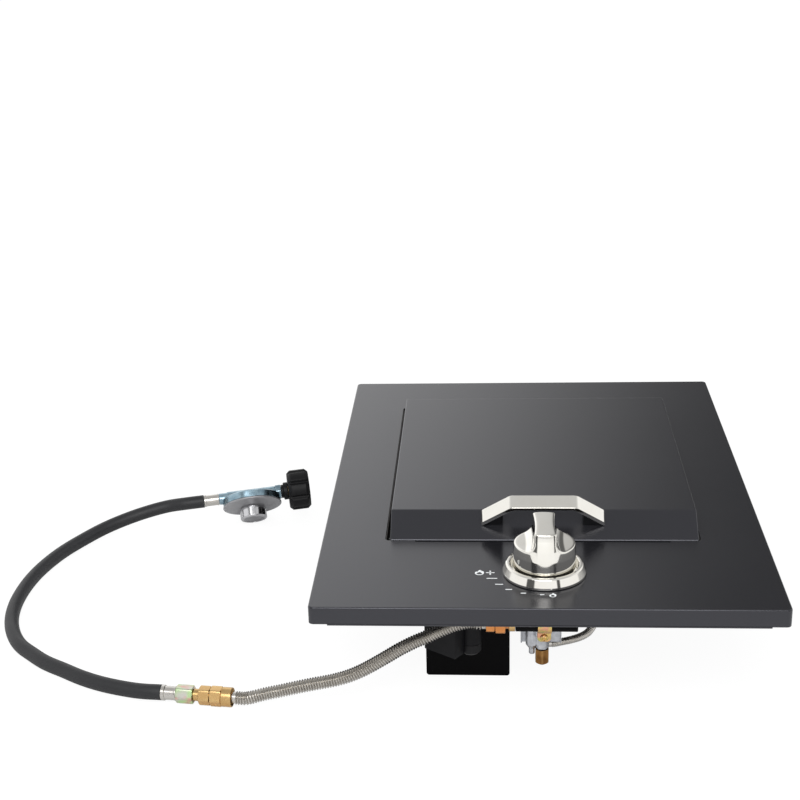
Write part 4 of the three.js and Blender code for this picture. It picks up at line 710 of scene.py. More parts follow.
def surface_of_rings(rings: Sequence[Sequence[Vector]], looped: bool) -> bmesh.types.BMesh:
    """Skin rings of points that all have the same number of points.

    Args:
        rings: The rings, in order.
        looped: Whether the last ring joins the first. Otherwise both ends are capped.

    Returns:
        The mesh, with its faces pointing out.
    """
    mesh = bmesh.new()
    rows = [[mesh.verts.new(p) for p in ring] for ring in rings]
    count = len(rows[0])
    pairs = list(zip(rows, rows[1:] + rows[:1])) if looped else list(zip(rows, rows[1:]))
    for low, high in pairs:
        for j in range(count):
            k = (j + 1) % count
            mesh.faces.new((low[j], low[k], high[k], high[j]))
    if not looped:
        mesh.faces.new(list(reversed(rows[0])))
        mesh.faces.new(rows[-1])
    bmesh.ops.recalc_face_normals(mesh, faces=mesh.faces)
    return mesh


def turned_bar(rings: Sequence[Ring], bore: float = 0.0, sides: int = 72) -> bmesh.types.BMesh:
    """A bar along Z made of round and hexagonal rings, with an optional bore.

    Args:
        rings: The rings from one end to the other.
        bore: The radius of the bore, or 0 for a solid bar.
        sides: Points on each ring, a multiple of 12.

    Returns:
        The mesh.
    """
    angles = [2 * math.pi * i / sides for i in range(sides)]
    stations = list(rings)
    if bore:
        stations = [Ring(rings[0].at, bore), *rings, Ring(rings[-1].at, bore)]
    points = [
        [Vector((r.radius(a) * math.cos(a), r.radius(a) * math.sin(a), r.at)) for a in angles]
        for r in stations
    ]
    return surface_of_rings(points, looped=bool(bore))


def lathe(profile: Sequence[Point], sides: int = 96) -> bmesh.types.BMesh:
    """Turn a profile of radius and height about Z. A radius of 0 at an end closes that end.

    Args:
        profile: Radius and height, in order.
        sides: Points round the axis.

    Returns:
        The mesh.
    """
    mesh = bmesh.new()
    angles = [2 * math.pi * i / sides for i in range(sides)]
    rows = []
    for radius, height in profile:
        if radius <= 0:
            rows.append([mesh.verts.new((0, 0, height))] * sides)
        else:
            rows.append([
                mesh.verts.new((radius * math.cos(a), radius * math.sin(a), height)) for a in angles
            ])
    pairs = list(zip(rows, rows[1:]))
    if profile[0][0] > 0 and profile[-1][0] > 0:
        pairs.append((rows[-1], rows[0]))
    for low, high in pairs:
        for j in range(sides):
            k = (j + 1) % sides
            corners = list(dict.fromkeys((low[j], low[k], high[k], high[j])))
            if len(corners) > 2:
                mesh.faces.new(corners)
    bmesh.ops.recalc_face_normals(mesh, faces=mesh.faces)
    return mesh


def filleted(points: Sequence[Point], radius: float, closed: bool = False, steps: int = 4) -> list[Point]:
    """Round the corners of an outline.

    Args:
        points: The corners.
        radius: The radius of every corner, less where its sides are short.
        closed: Whether the outline joins up. The ends of an open one stay.
        steps: Points per rounded corner, less one.

    Returns:
        The rounded outline.
    """
    count = len(points)
    result: list[Point] = []
    for i, corner in enumerate(points):
        if not closed and i in (0, count - 1):
            result.append(corner)
            continue
        here = Vector(corner)
        before = Vector(points[i - 1]) - here
        after = Vector(points[(i + 1) % count]) - here
        turn = math.pi - before.angle(after)
        if turn < 0.02:
            result.append(corner)
            continue
        reach = min(radius * math.tan(turn / 2), before.length * 0.45, after.length * 0.45)
        start = here + before.normalized() * reach
        end = here + after.normalized() * reach
        grip = 0.55
        handles = (start.to_3d(), (start + (here - start) * grip).to_3d(),
                   (end + (here - end) * grip).to_3d(), end.to_3d())
        result.extend((p.x, p.y) for p in interpolate_bezier(*handles, steps + 1))
    return result


def rounded_box_outline(x0: float, x1: float, y0: float, y1: float, radius: float,
                        steps: int = 6) -> list[Point]:
    """A rectangle with round corners, anticlockwise.

    Args:
        x0: The left side.
        x1: The right side.
        y0: The front.
        y1: The back.
        radius: The corners' radius.
        steps: Points per corner, less one.

    Returns:
        The outline.
    """
    corners = ((x1 - radius, y0 + radius, -90), (x1 - radius, y1 - radius, 0), (x0 + radius, y1 - radius, 90),
               (x0 + radius, y0 + radius, 180))
    return [
        (cx + radius * math.cos(math.radians(a0 + 90 * i / steps)),
         cy + radius * math.sin(math.radians(a0 + 90 * i / steps)))
        for cx, cy, a0 in corners
        for i in range(steps + 1)
    ]


def prism(outline: Sequence[Point], z0: float, z1: float) -> bmesh.types.BMesh:
    """Raise an outline from z0 to z1.

    Args:
        outline: Points in X and Y.
        z0: The lower height.
        z1: The upper height.

    Returns:
        The mesh.
    """
    return surface_of_rings([[Vector((x, y, z)) for x, y in outline] for z in (z0, z1)], looped=False)


def box_mesh(low: Triple, high: Triple) -> bmesh.types.BMesh:
    """A block between two corners, to be cut, joined or bevelled."""
    (x0, y0, z0), (x1, y1, z1) = low, high
    return prism([(x0, y0), (x1, y0), (x1, y1), (x0, y1)], z0, z1)


def moved(mesh: bmesh.types.BMesh, matrix: Matrix) -> bmesh.types.BMesh:
    """Move a mesh and give it back."""
    bmesh.ops.transform(mesh, matrix=matrix, verts=mesh.verts)
    return mesh


def along_x(mesh: bmesh.types.BMesh) -> bmesh.types.BMesh:
    """Turn a mesh so that its Z runs along X."""
    return moved(mesh, Matrix.Rotation(math.radians(90), 4, "Y"))


def shifted(mesh: bmesh.types.BMesh, x: float, y: float, z: float) -> bmesh.types.BMesh:
    """Shift a mesh and give it back."""
    return moved(mesh, Matrix.Translation((x, y, z)))


def profile_along_x(outline: Sequence[Point], x0: float, x1: float) -> bmesh.types.BMesh:
    """Run an outline of Y and Z along X.

    Args:
        outline: Points in Y and Z.
        x0: The left end.
        x1: The right end.

    Returns:
        The mesh.
    """
    return surface_of_rings([[Vector((x, y, z)) for y, z in outline] for x in (x0, x1)], looped=False)


def profile_along_y(outline: Sequence[Point], y0: float, y1: float) -> bmesh.types.BMesh:
    """Run an outline of X and Z along Y.

    Args:
        outline: Points in X and Z.
        y0: The front end.
        y1: The back end.

    Returns:
        The mesh.
    """
    return surface_of_rings([[Vector((x, y, z)) for x, z in outline] for y in (y0, y1)], looped=False)


def edges_bevelled(mesh: bmesh.types.BMesh, width: float, sharper_than: float = 40.0,
                   segments: int = 3, keep: Callable[[bmesh.types.BMEdge], bool] | None = None
                   ) -> bmesh.types.BMesh:
    """Round the sharp edges of a mesh.

    Args:
        mesh: The mesh.
        width: How far the rounding reaches from each edge.
        sharper_than: The least angle in degrees that counts as sharp.
        segments: Faces across the rounding.
        keep: Which edges may be rounded. All by default.

    Returns:
        The same mesh.
    """
    limit = math.radians(sharper_than)
    edges = [e for e in mesh.edges if len(e.link_faces) == 2 and e.calc_face_angle(0) > limit
             and (keep is None or keep(e))]
    bmesh.ops.bevel(mesh, geom=edges, offset=width, segments=segments, profile=0.5, affect="EDGES",
                    clamp_overlap=True)
    return mesh


def as_mesh(shape: bmesh.types.BMesh, name: str) -> bpy.types.Mesh:
    """Turn a bmesh into mesh data and free it."""
    data = bpy.data.meshes.new(name)
    shape.to_mesh(data)
    shape.free()
    return data


def scratch(shape: bmesh.types.BMesh | bpy.types.Mesh, name: str = "scratch") -> bpy.types.Object:
    """Link a shape as an object for modifiers to work on."""
    data = shape if isinstance(shape, bpy.types.Mesh) else as_mesh(shape, name)
    thing = bpy.data.objects.new(name, data)
    bpy.context.scene.collection.objects.link(thing)
    return thing


def baked(thing: bpy.types.Object) -> bpy.types.Mesh:
    """Give an object's mesh with its modifiers applied, and delete the object."""
    bpy.context.view_layer.update()
    graph = bpy.context.evaluated_depsgraph_get()
    data = bpy.data.meshes.new_from_object(thing.evaluated_get(graph))
    bpy.data.objects.remove(thing)
    return data


def combined(first: bmesh.types.BMesh | bpy.types.Mesh, others: Sequence[bmesh.types.BMesh],
             operation: str) -> bpy.types.Mesh:
    """Cut shapes from a shape, or join them to it.

    Args:
        first: The shape to start from.
        others: What is cut or joined.
        operation: DIFFERENCE, UNION or INTERSECT.

    Returns:
        The result.
    """
    base = scratch(first)
    tools = [scratch(other, "tool") for other in others]
    for tool in tools:
        modifier = base.modifiers.new("combine", "BOOLEAN")
        modifier.object = tool
        modifier.operation = operation
        modifier.solver = "EXACT"
    result = baked(base)
    for tool in tools:
        bpy.data.objects.remove(tool)
    return result


def bevelled_data(data: bpy.types.Mesh, width: float, sharper_than: float = 35.0,
                  segments: int = 2) -> bpy.types.Mesh:
    """Round the sharp edges of mesh data with a modifier.

    Args:
        data: The mesh data.
        width: The rounding's width.
        sharper_than: The least angle in degrees that counts as sharp.
        segments: Faces across the rounding.

    Returns:
        New mesh data.
    """
    thing = scratch(data)
    modifier = thing.modifiers.new("round", "BEVEL")
    modifier.width = width
    modifier.segments = segments
    modifier.limit_method = "ANGLE"
    modifier.angle_limit = math.radians(sharper_than)
    modifier.harden_normals = False
    return baked(thing)


def cast_skin(data: bpy.types.Mesh, voxel: float, smoothing: int) -> bpy.types.Mesh:
    """Give joined shapes one skin with soft corners, as a casting has.

    Args:
        data: The joined shapes.
        voxel: The size of the skin's faces.
        smoothing: How often the skin is smoothed.

    Returns:
        New mesh data.
    """
    thing = scratch(data)
    remesh = thing.modifiers.new("skin", "REMESH")
    remesh.mode = "VOXEL"
    remesh.voxel_size = voxel
    smooth = thing.modifiers.new("soften", "SMOOTH")
    smooth.iterations = smoothing
    smooth.factor = 0.5
    return baked(thing)


def joined(shapes: Sequence[bmesh.types.BMesh | bpy.types.Mesh]) -> bpy.types.Mesh:
    """Put shapes into one mesh, side by side.

    Args:
        shapes: The shapes.

    Returns:
        The mesh data.
    """
    whole = bmesh.new()
    for shape in shapes:
        part = shape if isinstance(shape, bpy.types.Mesh) else as_mesh(shape, "joined_part")
        whole.from_mesh(part)
        bpy.data.meshes.remove(part)
    return as_mesh(whole, "joined")


def smooth_path(points: Sequence[Triple], spacing: float) -> list[Vector]:
    """Run a centripetal Catmull-Rom curve through points and step along it evenly.

    Args:
        points: The points.
        spacing: The wanted distance between steps.

    Returns:
        Evenly spaced points, with the first and the last kept.
    """
    knots = [Vector(p) for p in points]
    padded = [knots[0] * 2 - knots[1], *knots, knots[-1] * 2 - knots[-2]]
    dense: list[Vector] = []
    pieces = 40
    for p0, p1, p2, p3 in zip(padded, padded[1:], padded[2:], padded[3:]):
        t1 = (p1 - p0).length ** 0.5
        t2 = t1 + (p2 - p1).length ** 0.5
        t3 = t2 + (p3 - p2).length ** 0.5
        for step in range(pieces):
            t = t1 + (t2 - t1) * step / pieces
            a1 = p0 * ((t1 - t) / t1) + p1 * (t / t1)
            a2 = p1 * ((t2 - t) / (t2 - t1)) + p2 * ((t - t1) / (t2 - t1))
            a3 = p2 * ((t3 - t) / (t3 - t2)) + p3 * ((t - t2) / (t3 - t2))
            b1 = a1 * ((t2 - t) / t2) + a2 * (t / t2)
            b2 = a2 * ((t3 - t) / (t3 - t1)) + a3 * ((t - t1) / (t3 - t1))
            dense.append(b1 * ((t2 - t) / (t2 - t1)) + b2 * ((t - t1) / (t2 - t1)))
    dense.append(knots[-1])
    lengths = [0.0]
    for a, b in zip(dense, dense[1:]):
        lengths.append(lengths[-1] + (b - a).length)
    count = max(2, round(lengths[-1] / spacing))
    result = []
    k = 0
    for i in range(count + 1):
        wanted = lengths[-1] * i / count
        while k < len(lengths) - 2 and lengths[k + 1] < wanted:
            k += 1
        span = lengths[k + 1] - lengths[k]
        result.append(dense[k].lerp(dense[k + 1], (wanted - lengths[k]) / span if span else 0))
    return result


def path_length(points: Sequence[Vector]) -> float:
    """The length of a line of points."""
    return sum((b - a).length for a, b in zip(points, points[1:]))


def swept(path: Sequence[Vector], radius_at: Callable[[float], float], sides: int,
          bore: float = 0.0) -> bmesh.types.BMesh:
    """Run a round section along a path, without twist.

    Args:
        path: Evenly spaced points.
        radius_at: The outer radius at a distance from the start.
        sides: Points on the section.
        bore: The inner radius, or 0 for a solid tube.

    Returns:
        The mesh.
    """
    step = path_length(path) / (len(path) - 1)
    side = Vector((0, 0, 1)).cross(path[1] - path[0]).normalized()
    rings, inner = [], []
    for i, centre in enumerate(path):
        ahead = path[min(i + 1, len(path) - 1)] - path[max(i - 1, 0)]
        ahead.normalize()
        side = (side - ahead * side.dot(ahead)).normalized()
        up = ahead.cross(side)
        circle = [side * math.cos(2 * math.pi * j / sides) + up * math.sin(2 * math.pi * j / sides)
                  for j in range(sides)]
        radius = radius_at(i * step)
        rings.append([centre + d * radius for d in circle])
        if bore:
            inner.append([centre + d * bore for d in circle])
    if bore:
        return surface_of_rings(rings + inner[::-1], looped=True)
    return surface_of_rings(rings, looped=False)


class Workshop:
    """Turns meshes into finished pieces that ride on their bodies."""

    def __init__(self, frame: dict[str, object]) -> None:
        """Take the loaded frame and make the finishes.
        """
        self.nodes = frame["nodes"]
        self.palette = Palette()
        self.slots = {part["node"]: Slot(part["material_slot"]) for part in frame["record"]["subparts"]}
        self.bodies = {
            node: Body(body)
            for body, nodes in frame["record"]["behaviour"]["bodies"].items()
            for node in nodes
        }

    def body_of(self, node: str) -> Body:
        """The body that a solid rides on."""
        return self.bodies.get(node, Body.FRAME)

    def place(self, name: str, shape: bmesh.types.BMesh | bpy.types.Mesh, node: str,
              replaces: bool = True, smooth: float = 32.0,
              material: bpy.types.Material | None = None) -> bpy.types.Object:
        """Make a piece of a mesh, in its node's finish, on its node's body.

        Args:
            name: The piece's name.
            shape: Its mesh, in the part's frame.
            node: The solid whose finish and body it takes.
            replaces: Whether it stands for that solid.
            smooth: The angle in degrees above which an edge stays crisp.
            material: A finish of its own, where it has one.

        Returns:
            The piece.
        """
        data = shape if isinstance(shape, bpy.types.Mesh) else as_mesh(shape, name)
        data.name = name
        data.shade_smooth()
        data.set_sharp_from_angle(angle=math.radians(smooth))
        piece = bpy.data.objects.new(name, data)
        bpy.context.scene.collection.objects.link(piece)
        piece.data.materials.clear()
        piece.data.materials.append(material or self.palette.by_slot[self.slots[node]])
        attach(piece, self.body_of(node).value)
        if replaces:
            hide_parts(node)
        steady = piece.modifiers.new("steady_normals", "WEIGHTED_NORMAL")
        steady.keep_sharp = True
        LOG.info("%s: %d faces, on %s", name, len(data.polygons), self.body_of(node).value)
        return piece

    def dress(self, *nodes: str) -> None:
        """Give solids that stay their finish.

        Args:
            nodes: Their names.
        """
        for node in nodes:
            solid = self.nodes[node]
            material = self.palette.by_slot[self.slots[node]]
            for slot in solid.material_slots:
                slot.material = material
            LOG.info("%s keeps its solid", node)

    def copy_of(self, node: str) -> bmesh.types.BMesh:
        """A copy of a solid's mesh in the part's frame, with its flat faces whole again."""
        solid = self.nodes[node]
        shape = bmesh.new()
        shape.from_mesh(solid.data)
        bmesh.ops.transform(shape, matrix=solid.matrix_world, verts=shape.verts)
        bmesh.ops.remove_doubles(shape, verts=shape.verts, dist=0.00002)
        bmesh.ops.dissolve_limit(shape, angle_limit=math.radians(1), verts=shape.verts, edges=shape.edges)
        return shape

    def softened(self, node: str, width: float = 0.0004, sharper_than: float = 50.0) -> bpy.types.Object:
        """Replace a solid by a copy with rounded edges.

        Args:
            node: The solid.
            width: The rounding's width.
            sharper_than: The least angle in degrees that is rounded.

        Returns:
            The piece.
        """
        data = bevelled_data(as_mesh(self.copy_of(node), node), width, sharper_than)
        return self.place(f"{node}_fine", data, node, smooth=38.0)

    def recast(self, node: str, voxel: float = 0.0008, smoothing: int = 3) -> bpy.types.Object:
        """Replace a cast solid by a copy with a soft cast skin.

        Args:
            node: The solid.
            voxel: The size of the skin's faces.
            smoothing: How often the skin is smoothed.

        Returns:
            The piece.
        """
        data = cast_skin(as_mesh(self.copy_of(node), node), voxel, smoothing)
        return self.place(f"{node}_cast", data, node, smooth=60.0)


# Sub-assemblies


@dataclass(frozen=True)
class TopPanel:
    """The folded and enamelled top panel with its opening, vent slot, rolled lip and hem."""

    width: float = 0.450
    depth: float = 0.620
    top: float = PANEL_TOP
    sheet: float = 0.0012
    corner: float = 0.005
    bend: float = 0.0016
    lip: float = 0.018
    hem_drop: float = 0.0015
    hem_width: float = 0.010
    hem_inset: float = 0.018
    opening_half: float = 0.160
    opening_front: float = -0.1638
    opening_back: float = 0.2182
    opening_corner: float = 0.004
    slot_half: float = 0.129
    slot_depth: float = 0.0032
    stem_hole: float = 0.007

    def tray(self, inset: float, z0: float, z1: float, bend: float) -> bmesh.types.BMesh:
        """A block with round corners and a bent upper rim.

        Args:
            inset: How far it stands in from the panel's outline.
            z0: Its lower height.
            z1: Its upper height.
            bend: The rim's radius.

        Returns:
            The mesh.
        """
        x, y = self.width / 2 - inset, self.depth / 2 - inset
        shape = prism(rounded_box_outline(-x, x, -y, y, self.corner - inset), z0, z1)
        return edges_bevelled(shape, bend, segments=4,
                              keep=lambda e: all(v.co.z > z1 - TOUCH for v in e.verts))

    def hems(self) -> list[bmesh.types.BMesh]:
        """The turned-in strips under the four lips."""
        x, y = self.width / 2, self.depth / 2
        z0, z1 = self.top - self.lip - self.hem_drop, self.top - self.lip + self.sheet
        inset, width, sheet = self.hem_inset, self.hem_width, self.sheet
        sides = []
        for lean in (-1, 1):
            rail = [(lean * y, z1), (lean * y, z0), (lean * (y - width), z0),
                    (lean * (y - width), z0 + sheet), (lean * (y - sheet), z0 + sheet),
                    (lean * (y - sheet), z1)]
            sides.append(profile_along_x(filleted(rail, 0.0007, closed=True), inset - x, x - inset))
            rail = [(lean * x, z1), (lean * x, z0), (lean * (x - width), z0),
                    (lean * (x - width), z0 + sheet), (lean * (x - sheet), z0 + sheet),
                    (lean * (x - sheet), z1)]
            sides.append(profile_along_y(filleted(rail, 0.0007, closed=True), inset - y, y - inset))
        return sides

    def build(self, shop: Workshop) -> None:
        """Make and place the panel.

        Args:
            shop: The workshop.
        """
        under = self.top - self.sheet
        low = self.top - self.lip
        outer = self.tray(0.0, low, self.top, self.bend)
        inner = self.tray(self.sheet, low - 0.005, under, self.bend - self.sheet + 0.0003)
        opening = prism(
            rounded_box_outline(-self.opening_half, self.opening_half, self.opening_front, self.opening_back,
                                self.opening_corner), under - CUT_PAST, self.top + CUT_PAST)
        slot = box_mesh((-self.slot_half, self.opening_front - self.slot_depth, under - CUT_PAST),
                        (self.slot_half, self.opening_front + 0.001, self.top + CUT_PAST))
        drill = turned_bar([
            Ring(under - CUT_PAST, self.stem_hole), Ring(self.top + CUT_PAST, self.stem_hole),
        ])
        hole = shifted(drill, 0.0, KNOB_AXIS_Y, 0.0)
        skin = combined(outer, [inner, opening, slot, hole], "DIFFERENCE")
        skin = bevelled_data(skin, 0.0003, 60.0)
        shop.place("panel_skin", joined([skin, *self.hems()]), "top_panel")


@dataclass(frozen=True)
class PrintedMarks:
    """The white marks round the knob: a large flame, a plus, five dashes and a small flame."""

    height: float = 0.00008
    stand: float = 0.00002
    shift: Point = (0.0022, 0.0009)
    plus_radius: float = 0.0548
    plus_angle: float = -177.8
    plus_arm: float = 0.0043
    stroke: float = 0.0014
    flame_radius: float = 0.0653
    flame_angle: float = -178.3
    small_flame_radius: float = 0.0488
    small_flame_angle: float = -85.0
    dashes: tuple[tuple[float, float, float], ...] = (
        (0.0550, -165.0, 0.0104), (0.0534, -150.0, 0.0080), (0.0526, -135.0, 0.0065),
        (0.0505, -117.6, 0.0053), (0.0481, -97.0, 0.0043),
    )

    def spot(self, radius: float, angle: float) -> Point:
        """The place of a mark, from its distance and direction from the knob's axis."""
        turn = math.radians(angle)
        return (self.shift[0] + radius * math.cos(turn),
                KNOB_AXIS_Y + self.shift[1] + radius * math.sin(turn))

    def flame(self, centre: Point, height: float) -> list[bmesh.types.BMesh]:
        """A flame symbol: a drop with two tongues and an open heart.

        Args:
            centre: Its middle.
            height: Its height.

        Returns:
            Its flat pieces.
        """
        outline = [
            (0.00, 0.52), (0.16, 0.36), (0.20, 0.20), (0.30, 0.30), (0.38, 0.06), (0.38, -0.16),
            (0.27, -0.36), (0.08, -0.46), (-0.12, -0.46), (-0.30, -0.36), (-0.40, -0.16), (-0.36, 0.06),
            (-0.24, 0.22), (-0.18, 0.06), (-0.10, 0.30),
        ]
        heart = [(0.02, 0.14), (0.14, -0.04), (0.24, -0.14), (0.22, -0.28), (0.08, -0.36), (-0.10, -0.36),
                 (-0.24, -0.26), (-0.26, -0.12), (-0.14, -0.02)]
        z0, z1 = self.top(0.0), self.top(1.0)
        body = prism([(centre[0] + x * height, centre[1] + y * height)
                      for x, y in filleted(outline, 0.05, closed=True)], z0, z1)
        core = prism([(centre[0] + x * height, centre[1] + y * height)
                      for x, y in filleted(heart, 0.04, closed=True)], z0 - 0.001, z1 + 0.001)
        return [combined(body, [core], "DIFFERENCE")]

    def top(self, share: float) -> float:
        """A height within the print's thickness."""
        return PANEL_TOP + self.stand + share * self.height

    def build(self, shop: Workshop) -> None:
        """Make and place the marks.

        Args:
            shop: The workshop.
        """
        shapes = []
        for radius, angle, length in self.dashes:
            x, y = self.spot(radius, angle)
            outline = rounded_box_outline(x - length / 2, x + length / 2, y - self.stroke / 2,
                                          y + self.stroke / 2, self.stroke * 0.45, 3)
            shapes.append(prism(outline, self.top(0.0), self.top(1.0)))
        x, y = self.spot(self.plus_radius, self.plus_angle)
        for half_x, half_y in ((self.plus_arm, self.stroke / 2), (self.stroke / 2, self.plus_arm)):
            outline = rounded_box_outline(x - half_x, x + half_x, y - half_y, y + half_y, 0.0003, 3)
            shapes.append(prism(outline, self.top(0.0), self.top(1.0)))
        shapes += self.flame(self.spot(self.flame_radius, self.flame_angle), 0.0115)
        shapes += self.flame(self.spot(self.small_flame_radius, self.small_flame_angle), 0.0085)
        shop.place("dial_marks", joined(shapes), "top_panel", replaces=False, material=shop.palette.print)


@dataclass(frozen=True)
class Lid:
    """The folded lid with its sloping front and its two hinge ears."""

    middle: float = 0.0015
    half: float = 0.1565
    front: float = -0.163
    back: float = 0.196
    low: float = 0.137
    high: float = 0.1605
    slope_run: float = 0.030
    sheet: float = 0.0012
    bend: float = 0.0014
    ear_centre: Point = (0.204, 0.146)
    ear_radius: float = 0.0055
    ear_thickness: float = 0.003
    ear_x: float = 0.1185
    pin_hole: float = 0.0028

    def shell(self, inset: float) -> bmesh.types.BMesh:
        """The lid's block, shrunk by an inset.

        Args:
            inset: How far each face stands in.

        Returns:
            The mesh, with its upper edges rounded.
        """
        slope = math.atan2(self.high - PANEL_TOP, self.slope_run)
        floor = self.low - (0.004 if inset else 0.0)
        roof = self.high - inset
        knee = self.front + self.slope_run + inset * math.tan(slope / 2)
        toe = PANEL_TOP + inset * math.tan(slope) - inset / math.cos(slope)
        outline = [(self.front + inset, floor), (self.back - inset, floor), (self.back - inset, roof),
                   (knee, roof), (self.front + inset, toe)]
        x = self.half - inset
        shape = profile_along_x(outline, self.middle - x, self.middle + x)
        radius = self.bend if not inset else self.bend * 0.4
        return edges_bevelled(shape, radius, sharper_than=20.0, segments=4,
                              keep=lambda e: not all(v.co.z < floor + TOUCH for v in e.verts))

    def ear(self, side: int) -> bmesh.types.BMesh:
        """One hinge ear.

        Args:
            side: -1 for the left one and 1 for the right one.

        Returns:
            The mesh.
        """
        y, z = self.ear_centre
        arc = [(y + self.ear_radius * math.cos(a), z + self.ear_radius * math.sin(a))
               for a in (math.radians(-90 + 12 * i) for i in range(16))]
        start = self.back - self.sheet / 2
        outline = [(start, z - self.ear_radius), *arc, (start, z + self.ear_radius)]
        x0, x1 = sorted(self.middle + side * reach for reach in (self.ear_x, self.ear_x + self.ear_thickness))
        plate = profile_along_x(outline, x0, x1)
        drill = turned_bar([Ring(x0 - 0.001, self.pin_hole), Ring(x1 + 0.001, self.pin_hole)])
        hole = shifted(along_x(drill), 0.0, y, z)
        return bevelled_data(combined(plate, [hole], "DIFFERENCE"), 0.0002, 60.0)

    def build(self, shop: Workshop) -> None:
        """Make and place the lid, and dress its hinge.

        Args:
            shop: The workshop.
        """
        shell = combined(self.shell(0.0), [self.shell(self.sheet)], "DIFFERENCE")
        shell = bevelled_data(shell, 0.0003, 75.0)
        shop.place("lid_shell", joined([shell, self.ear(-1), self.ear(1)]), "lid")
        for side in ("left", "right"):
            shop.softened(f"hinge_bracket_{side}", 0.0003)
            shop.softened(f"hinge_pin_{side}", 0.0003)
            shop.softened(f"lid_bumper_{side}", 0.0006)


@dataclass(frozen=True)
class Handle:
    """The bent chrome strap on the lid's slope, on two black posts."""

    half: float = 0.063
    flat_half: float = 0.0335
    width: float = 0.0155
    thickness: float = 0.005
    rise: float = 0.035
    end_rise: float = 0.006
    up_slope: float = 0.0246
    bend: float = 0.007

    def strap_outline(self) -> list[Point]:
        """The strap seen from the front, X across and the height over the slope."""
        dx, dz = self.half - self.flat_half, self.rise - self.end_rise
        lean = math.atan2(dz, dx)
        under_flat = self.flat_half - self.thickness * math.tan(lean / 2)
        foot = self.flat_half + (self.rise - self.thickness / math.cos(lean) - 2 * GAP) / math.tan(lean)
        outer = [(foot, 2 * GAP), (self.half, 2 * GAP), (self.half, self.end_rise),
                 (self.flat_half, self.rise)]
        mirrored = [(-x, z) for x, z in reversed(outer)]
        under = [(-under_flat, self.rise - self.thickness), (under_flat, self.rise - self.thickness)]
        return filleted([*outer, *mirrored, *under], self.bend, closed=True, steps=8)

    def build(self, shop: Workshop) -> None:
        """Make and place the strap, its posts and its screws.

        Args:
            shop: The workshop.
        """
        lid = Lid()
        slope = math.atan2(lid.high - PANEL_TOP, lid.slope_run)
        on_slope = Matrix.Translation((lid.middle, lid.front, PANEL_TOP)) @ Matrix.Rotation(slope, 4, "X")
        strap = profile_along_y(self.strap_outline(), self.up_slope - self.width / 2,
                                self.up_slope + self.width / 2)
        edges_bevelled(strap, 0.0012, sharper_than=60.0, segments=4)
        shop.place("handle_strap", moved(strap, on_slope), "handle_grip")
        for side in ("left", "right"):
            shop.softened(f"handle_post_{side}", 0.0010)
            shop.softened(f"handle_screw_{side}", 0.0003)


